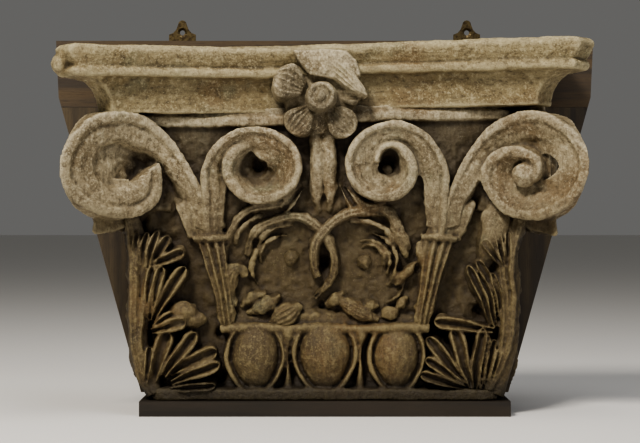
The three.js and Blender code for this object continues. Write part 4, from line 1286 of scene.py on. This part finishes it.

# %% [markdown]
# ## Worn oil paint over primed softwood
#
# The real surface is cream oil paint on a chalky primer, flaked, dusty and handled. To the eye it
# is matt and dry, cream on ridges, ochre and grey green in patches, and dark brown where dirt
# has settled and where shade is painted into the hollows. The upper parts are paler than the lower
# ones, partly from less dirt and partly as painted shade lower down. Oil paint has an IOR near 1.48.

# %% Painted wood
def painted_wood(name, stretch, upper_coats):
    """Worn oil paint over carved softwood whose grain runs the way that stretch is short.

    upper_coats are the two colours of the ground and the cream of the upper half, which is paler
    partly from less dirt and partly as painted shade lower down. Each noise is given the size of
    its patches in millimetres, and "height" is z in metres.
    """
    material, tree, shader = new_material(name)
    place = add(tree, "TexCoord").outputs["Object"]
    edge = add(tree, "Attribute", {"attribute_name": "edge"}).outputs["Fac"]
    # the shelter attribute darkens the paint as dirt and as painted shade
    shade_and_dirt_share = add(tree, "Attribute", {"attribute_name": "dirt_and_shade"}).outputs["Fac"]
    bare = add(tree, "Attribute", {"attribute_name": "bare"}).outputs["Fac"]
    height = add(tree, "SeparateXYZ", i0=place).outputs[2]
    grain = add(tree, "Mapping", Vector=place, Scale=stretch).outputs[0]
    pattern = {}
    for key, across, where, shift in (
        ("swell", 140, place, 0.0),  # thick and thin varnish
        ("green", 90, place, 3.0),  # bloom
        ("patch", 55, place, 0.0),  # one coat or another
        ("flake", 12, place, 0.0),
        ("chip", 8, place, 1.0),
        ("speck", 2.6, place, 0.0),  # pinholes and grains, coarser than real ones so that they show
        ("streak", 4, grain, 0.0),  # the open grain, stretched along the wood
    ):
        scale = 1 / (across * MM)
        inputs = dict(Vector=where, W=shift, Scale=scale, Detail=6.0, Roughness=0.66)
        pattern[key] = add(tree, "TexNoise", FOURTH, **inputs).outputs[0]

    # old varnished ground: brown below, paler and creamier above, partly old dirt and partly painted
    # shade lower down
    low = layered(tree, "#493b23", [(pattern["patch"], 0.38, 0.60, 1.0, "#605235")])
    # the bare face turns darker above 400 mm, under the abacus
    varnish = layered(tree, "#4a3e25", [(height, 0.33, 0.40, 1.0, "#332811")])
    high = layered(tree, upper_coats[0], [(pattern["patch"], 0.38, 0.60, 1.0, upper_coats[1])])
    # the cream is darker low down: partly dirt, partly painted shade
    cream = layered(tree, "#8c7f5a", [(height, 0.20, 0.40, 1.0, upper_coats[2])])
    flaking = add(tree, "Math", MULTIPLY_ADD, i0=pattern["flake"], i1=2.4, i2=-1.2).outputs[0]
    ridge = add(tree, "Math", ADD, i0=edge, i1=flaking).outputs[0]
    blotch = add(tree, "Math", MULTIPLY_ADD, i0=pattern["patch"], i1=0.4, i2=-0.2).outputs[0]
    grime_and_shade = add(tree, "Math", ADD, i0=shade_and_dirt_share, i1=blotch).outputs[0]
    bright = add(tree, "Math", MULTIPLY_ADD, i0=pattern["speck"], i1=-1.0, i2=0.65).outputs[0]
    # fewer cream grains where dirt and painted shade lie
    bright = add(tree, "Math", MULTIPLY_ADD, i0=grime_and_shade, i1=-0.5, i2=bright).outputs[0]
    layers = [
        # paler higher up: partly less dirt, partly painted shade lower down
        (height, 0.20, 0.40, 1.0, high),
        (pattern["swell"], 0.50, 0.64, 0.5, "#6b5230"),  # ochre where the varnish is thick
        (pattern["green"], 0.56, 0.70, 0.45, "#6f735b"),  # a grey green bloom
        (pattern["streak"], 0.48, 0.66, 0.45, "#382c1b"),  # dirt in the open grain
        (pattern["chip"], 0.47, 0.36, 0.6, "#40331c"),  # small losses down to the ground
        (ridge, 0.1, 1.5, 0.55, cream),  # paint kept or rubbed bright on ridges
        (pattern["chip"], 0.52, 0.64, 0.45, cream),  # flakes of the last cream coat
        (bare, 0.1, 0.9, 0.78, varnish),  # the bell's own face, brown with old varnish
        (edge, -0.15, -1.2, 0.6, "#2d2417"),  # dirt and painted shade in creases
        (grime_and_shade, 0.12, 0.75, 0.85, "#24190c"),  # dirt and painted shade in sheltered places
        (pattern["speck"], 0.54, 0.66, 0.55, "#352816"),  # pinholes
        (bright, 0.16, 0.30, 0.5, cream),  # grains of the cream coat
        (height, 0.068, 0.036, 0.8, "#1f190e"),  # the foot, darker: partly damp and dust, partly painted shade where the light falls off
    ]
    colour = layered(tree, low, layers)
    tree.links.new(colour, shader.inputs["Base Color"])
    shader.inputs["IOR"].default_value = 1.48
    rough = add(tree, "MapRange", i0=pattern["flake"], i1=0.3, i2=0.7, i3=0.52, i4=0.8).outputs[0]
    tree.links.new(rough, shader.inputs["Roughness"])
    grit = pattern["speck"]
    for key, share in (("flake", 1.6), ("chip", 1.8), ("streak", 0.7)):
        grit = add(tree, "Math", MULTIPLY_ADD, i0=pattern[key], i1=share, i2=grit).outputs[0]
    bump = add(tree, "Bump", Strength=0.9, Distance=1.4 * MM, Height=grit).outputs[0]
    tree.links.new(bump, shader.inputs["Normal"])
    return material


paint_down = painted_wood(
    "worn_oil_paint_on_upright_grain", (1.0, 1.0, 0.12), ("#73654a", "#9b8f73", "#cfc5a8")
)
paint_along = painted_wood(
    "worn_oil_paint_on_level_grain", (0.08, 1.0, 1.0), ("#766746", "#908361", "#c0b592")
)
for name, piece in carved.items():
    piece.data.materials.clear()
    piece.data.materials.append(paint_along if name == "carved_abacus" else paint_down)
print("finishes:", paint_down.name, paint_along.name)

# %% [markdown]
# ## Stained planks
#
# The boards are pine or deal, sawn, planed and stained dark. Pine's growth rings show as bands
# that run along the plank, up to 14 mm wide, with fine pores between. A noise stretched
# hard along the grain gives both, so each board only needs the direction of its grain.

# %% Wood for the boards
def stained_wood(name, stretch, dark, light):
    """Stained softwood whose grain runs the way that stretch is short."""
    material, tree, shader = new_material(name)
    place = add(tree, "TexCoord").outputs["Object"]
    grain = add(tree, "Mapping", Vector=place, Scale=stretch).outputs[0]
    bands, pores, stains = (
        add(tree, "TexNoise", Vector=where, Scale=scale, Detail=detail, Roughness=rough).outputs[0]
        for where, scale, detail, rough in (
            (grain, 1 / (14 * MM), 4.0, 0.5),  # growth rings
            (grain, 1 / (1.1 * MM), 3.0, 0.7),  # pores, coarser than real ones so that they show
            (place, 1 / (140 * MM), 4.0, 0.6),  # stains
        )
    )
    layers = [
        (bands, 0.36, 0.64, 1.0, light),
        (pores, 0.5, 0.68, 0.5, "#1a130b"),
        (stains, 0.5, 0.72, 0.45, "#241b11"),
    ]
    tree.links.new(layered(tree, dark, layers), shader.inputs["Base Color"])
    rough = add(tree, "MapRange", i0=bands, i1=0.3, i2=0.7, i3=0.5, i4=0.68).outputs[0]
    tree.links.new(rough, shader.inputs["Roughness"])
    shader.inputs["IOR"].default_value = 1.5
    bump = add(tree, "Bump", Strength=0.35, Distance=0.6 * MM, Height=pores).outputs[0]
    tree.links.new(bump, shader.inputs["Normal"])
    return material


def dress(node, material):
    """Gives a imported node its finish."""
    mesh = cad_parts[node].data
    mesh.materials.clear()
    mesh.materials.append(material)


dress("backboard_rail", stained_wood("stained_pine_rail", (0.05, 1.0, 1.0), "#33281a", "#4d3d26"))
dress("backboard_panel", stained_wood("stained_pine_panel", (1.0, 1.0, 0.05), "#33291b", "#4f422c"))
dress("base_ledge", stained_wood("stained_pine_ledge", (0.05, 1.0, 1.0), "#1d170f", "#2c2418"))
print("boards dressed")

# %% [markdown]
# ## Tarnished brass and dull steel
#
# The mirror plates are stamped sheet brass, lacquered once and now brown. The screws are plain
# steel. Metal keeps its default IOR; what ages it is the roughness and the brown film.

# %% Metals
def aged_metal(name, clean, film, rough):
    """A metal under a patchy brown film."""
    material, tree, shader = new_material(name)
    place = add(tree, "TexCoord").outputs["Object"]
    scale = 1 / (5.5 * MM)
    patches = add(tree, "TexNoise", Vector=place, Scale=scale, Detail=5.0, Roughness=0.6).outputs[0]
    colour = layered(tree, clean, [(patches, 0.38, 0.62, 1.0, film)])
    tree.links.new(colour, shader.inputs["Base Color"])
    shader.inputs["Metallic"].default_value = 1.0
    worn = add(tree, "MapRange", i0=patches, i1=0.35, i2=0.65, i3=rough, i4=rough + 0.2).outputs[0]
    tree.links.new(worn, shader.inputs["Roughness"])
    bump = add(tree, "Bump", Strength=0.2, Distance=0.2 * MM, Height=patches).outputs[0]
    tree.links.new(bump, shader.inputs["Normal"])
    return material


brass = aged_metal("tarnished_sheet_brass", "#665a40", "#40372a", 0.45)
steel = aged_metal("dull_screw_steel", "#6f6a62", "#4b4238", 0.42)
for hand in ("left", "right"):
    dress(f"hanger_plate_{hand}", brass)
    dress(f"hanger_screw_{hand}_1", steel)
    dress(f"hanger_screw_{hand}_2", steel)
print("metals:", brass.name, steel.name)

# %% [markdown]
# ## Floor, light and camera
#
# A wide pale floor and three soft lamps show the carving without drama: the strongest high on
# the left, which models the relief, a wide weak one on the right and one from above. The camera
# looks level at the middle of the work from 2.4 metres, as a photographer would with a long lens.

# %% Floor
FLOOR_HALF = 30  # metres, so wide that its far edge lies close under the horizon
floor_paint, tree, shader = new_material("pale_matt_floor")
shader.inputs["Base Color"].default_value = hex_colour("#e2e0dc")
shader.inputs["Roughness"].default_value = 0.9
floor_mesh = bpy.data.meshes.new("floor")
corners = [(x * FLOOR_HALF, y * FLOOR_HALF, 0) for x, y in ((-1, -1), (1, -1), (1, 1), (-1, 1))]
floor_mesh.from_pydata(corners, [], [(0, 1, 2, 3)])
floor_mesh.materials.append(floor_paint)
floor = bpy.data.objects.new("floor", floor_mesh)
bpy.context.scene.collection.objects.link(floor)
print("floor:", 2 * FLOOR_HALF, "m wide")

# %% Lamps and camera
AIM = (0, 0, 0.3)  # the middle of the work, in metres
CAMERA_AWAY = 2370  # from the front of the backboard, in millimetres


def soft_lamp(name, place, size, watts, colour):
    """A square area lamp at a place, turned to the work."""
    light = bpy.data.lights.new(name, "AREA")
    light.size = size
    light.energy = watts
    light.color = hex_colour(colour)[:3]
    lamp = bpy.data.objects.new(name, light)
    lamp.location = place
    way = np.array(AIM) - np.array(place)
    tilt, turn = np.arctan2(np.hypot(way[0], way[1]), -way[2]), np.arctan2(-way[0], way[1])
    lamp.rotation_euler = (tilt, 0.0, turn)
    bpy.context.scene.collection.objects.link(lamp)


soft_lamp("key", (-1.0, -1.9, 2.5), 0.7, 100, "#fff8ee")
soft_lamp("fill", (2.0, -2.0, 1.3), 1.6, 13, "#f1f3ff")
soft_lamp("top", (0.3, -0.5, 2.4), 1.0, 14, "#ffffff")

world = bpy.data.worlds.new("studio")
world.use_nodes = True
background = world.node_tree.nodes["Background"]
background.inputs["Color"].default_value = hex_colour("#d8d7d4")
background.inputs["Strength"].default_value = 0.2
bpy.context.scene.world = world
bpy.context.scene.view_settings.look = "AgX - Medium High Contrast"

lens = bpy.data.cameras.new("camera")
lens.lens = 87.75
lens.sensor_width = 36.0
camera = bpy.data.objects.new("camera", lens)
camera.location = (-0.007, (FACE_Y - CAMERA_AWAY) * MM, 0.2815)
camera.rotation_euler = (np.pi / 2, 0.0, 0.0)
bpy.context.scene.collection.objects.link(camera)
bpy.context.scene.camera = camera
print("camera:", lens.lens, "mm lens,", round(-camera.location.y, 3), "m in front of the middle")
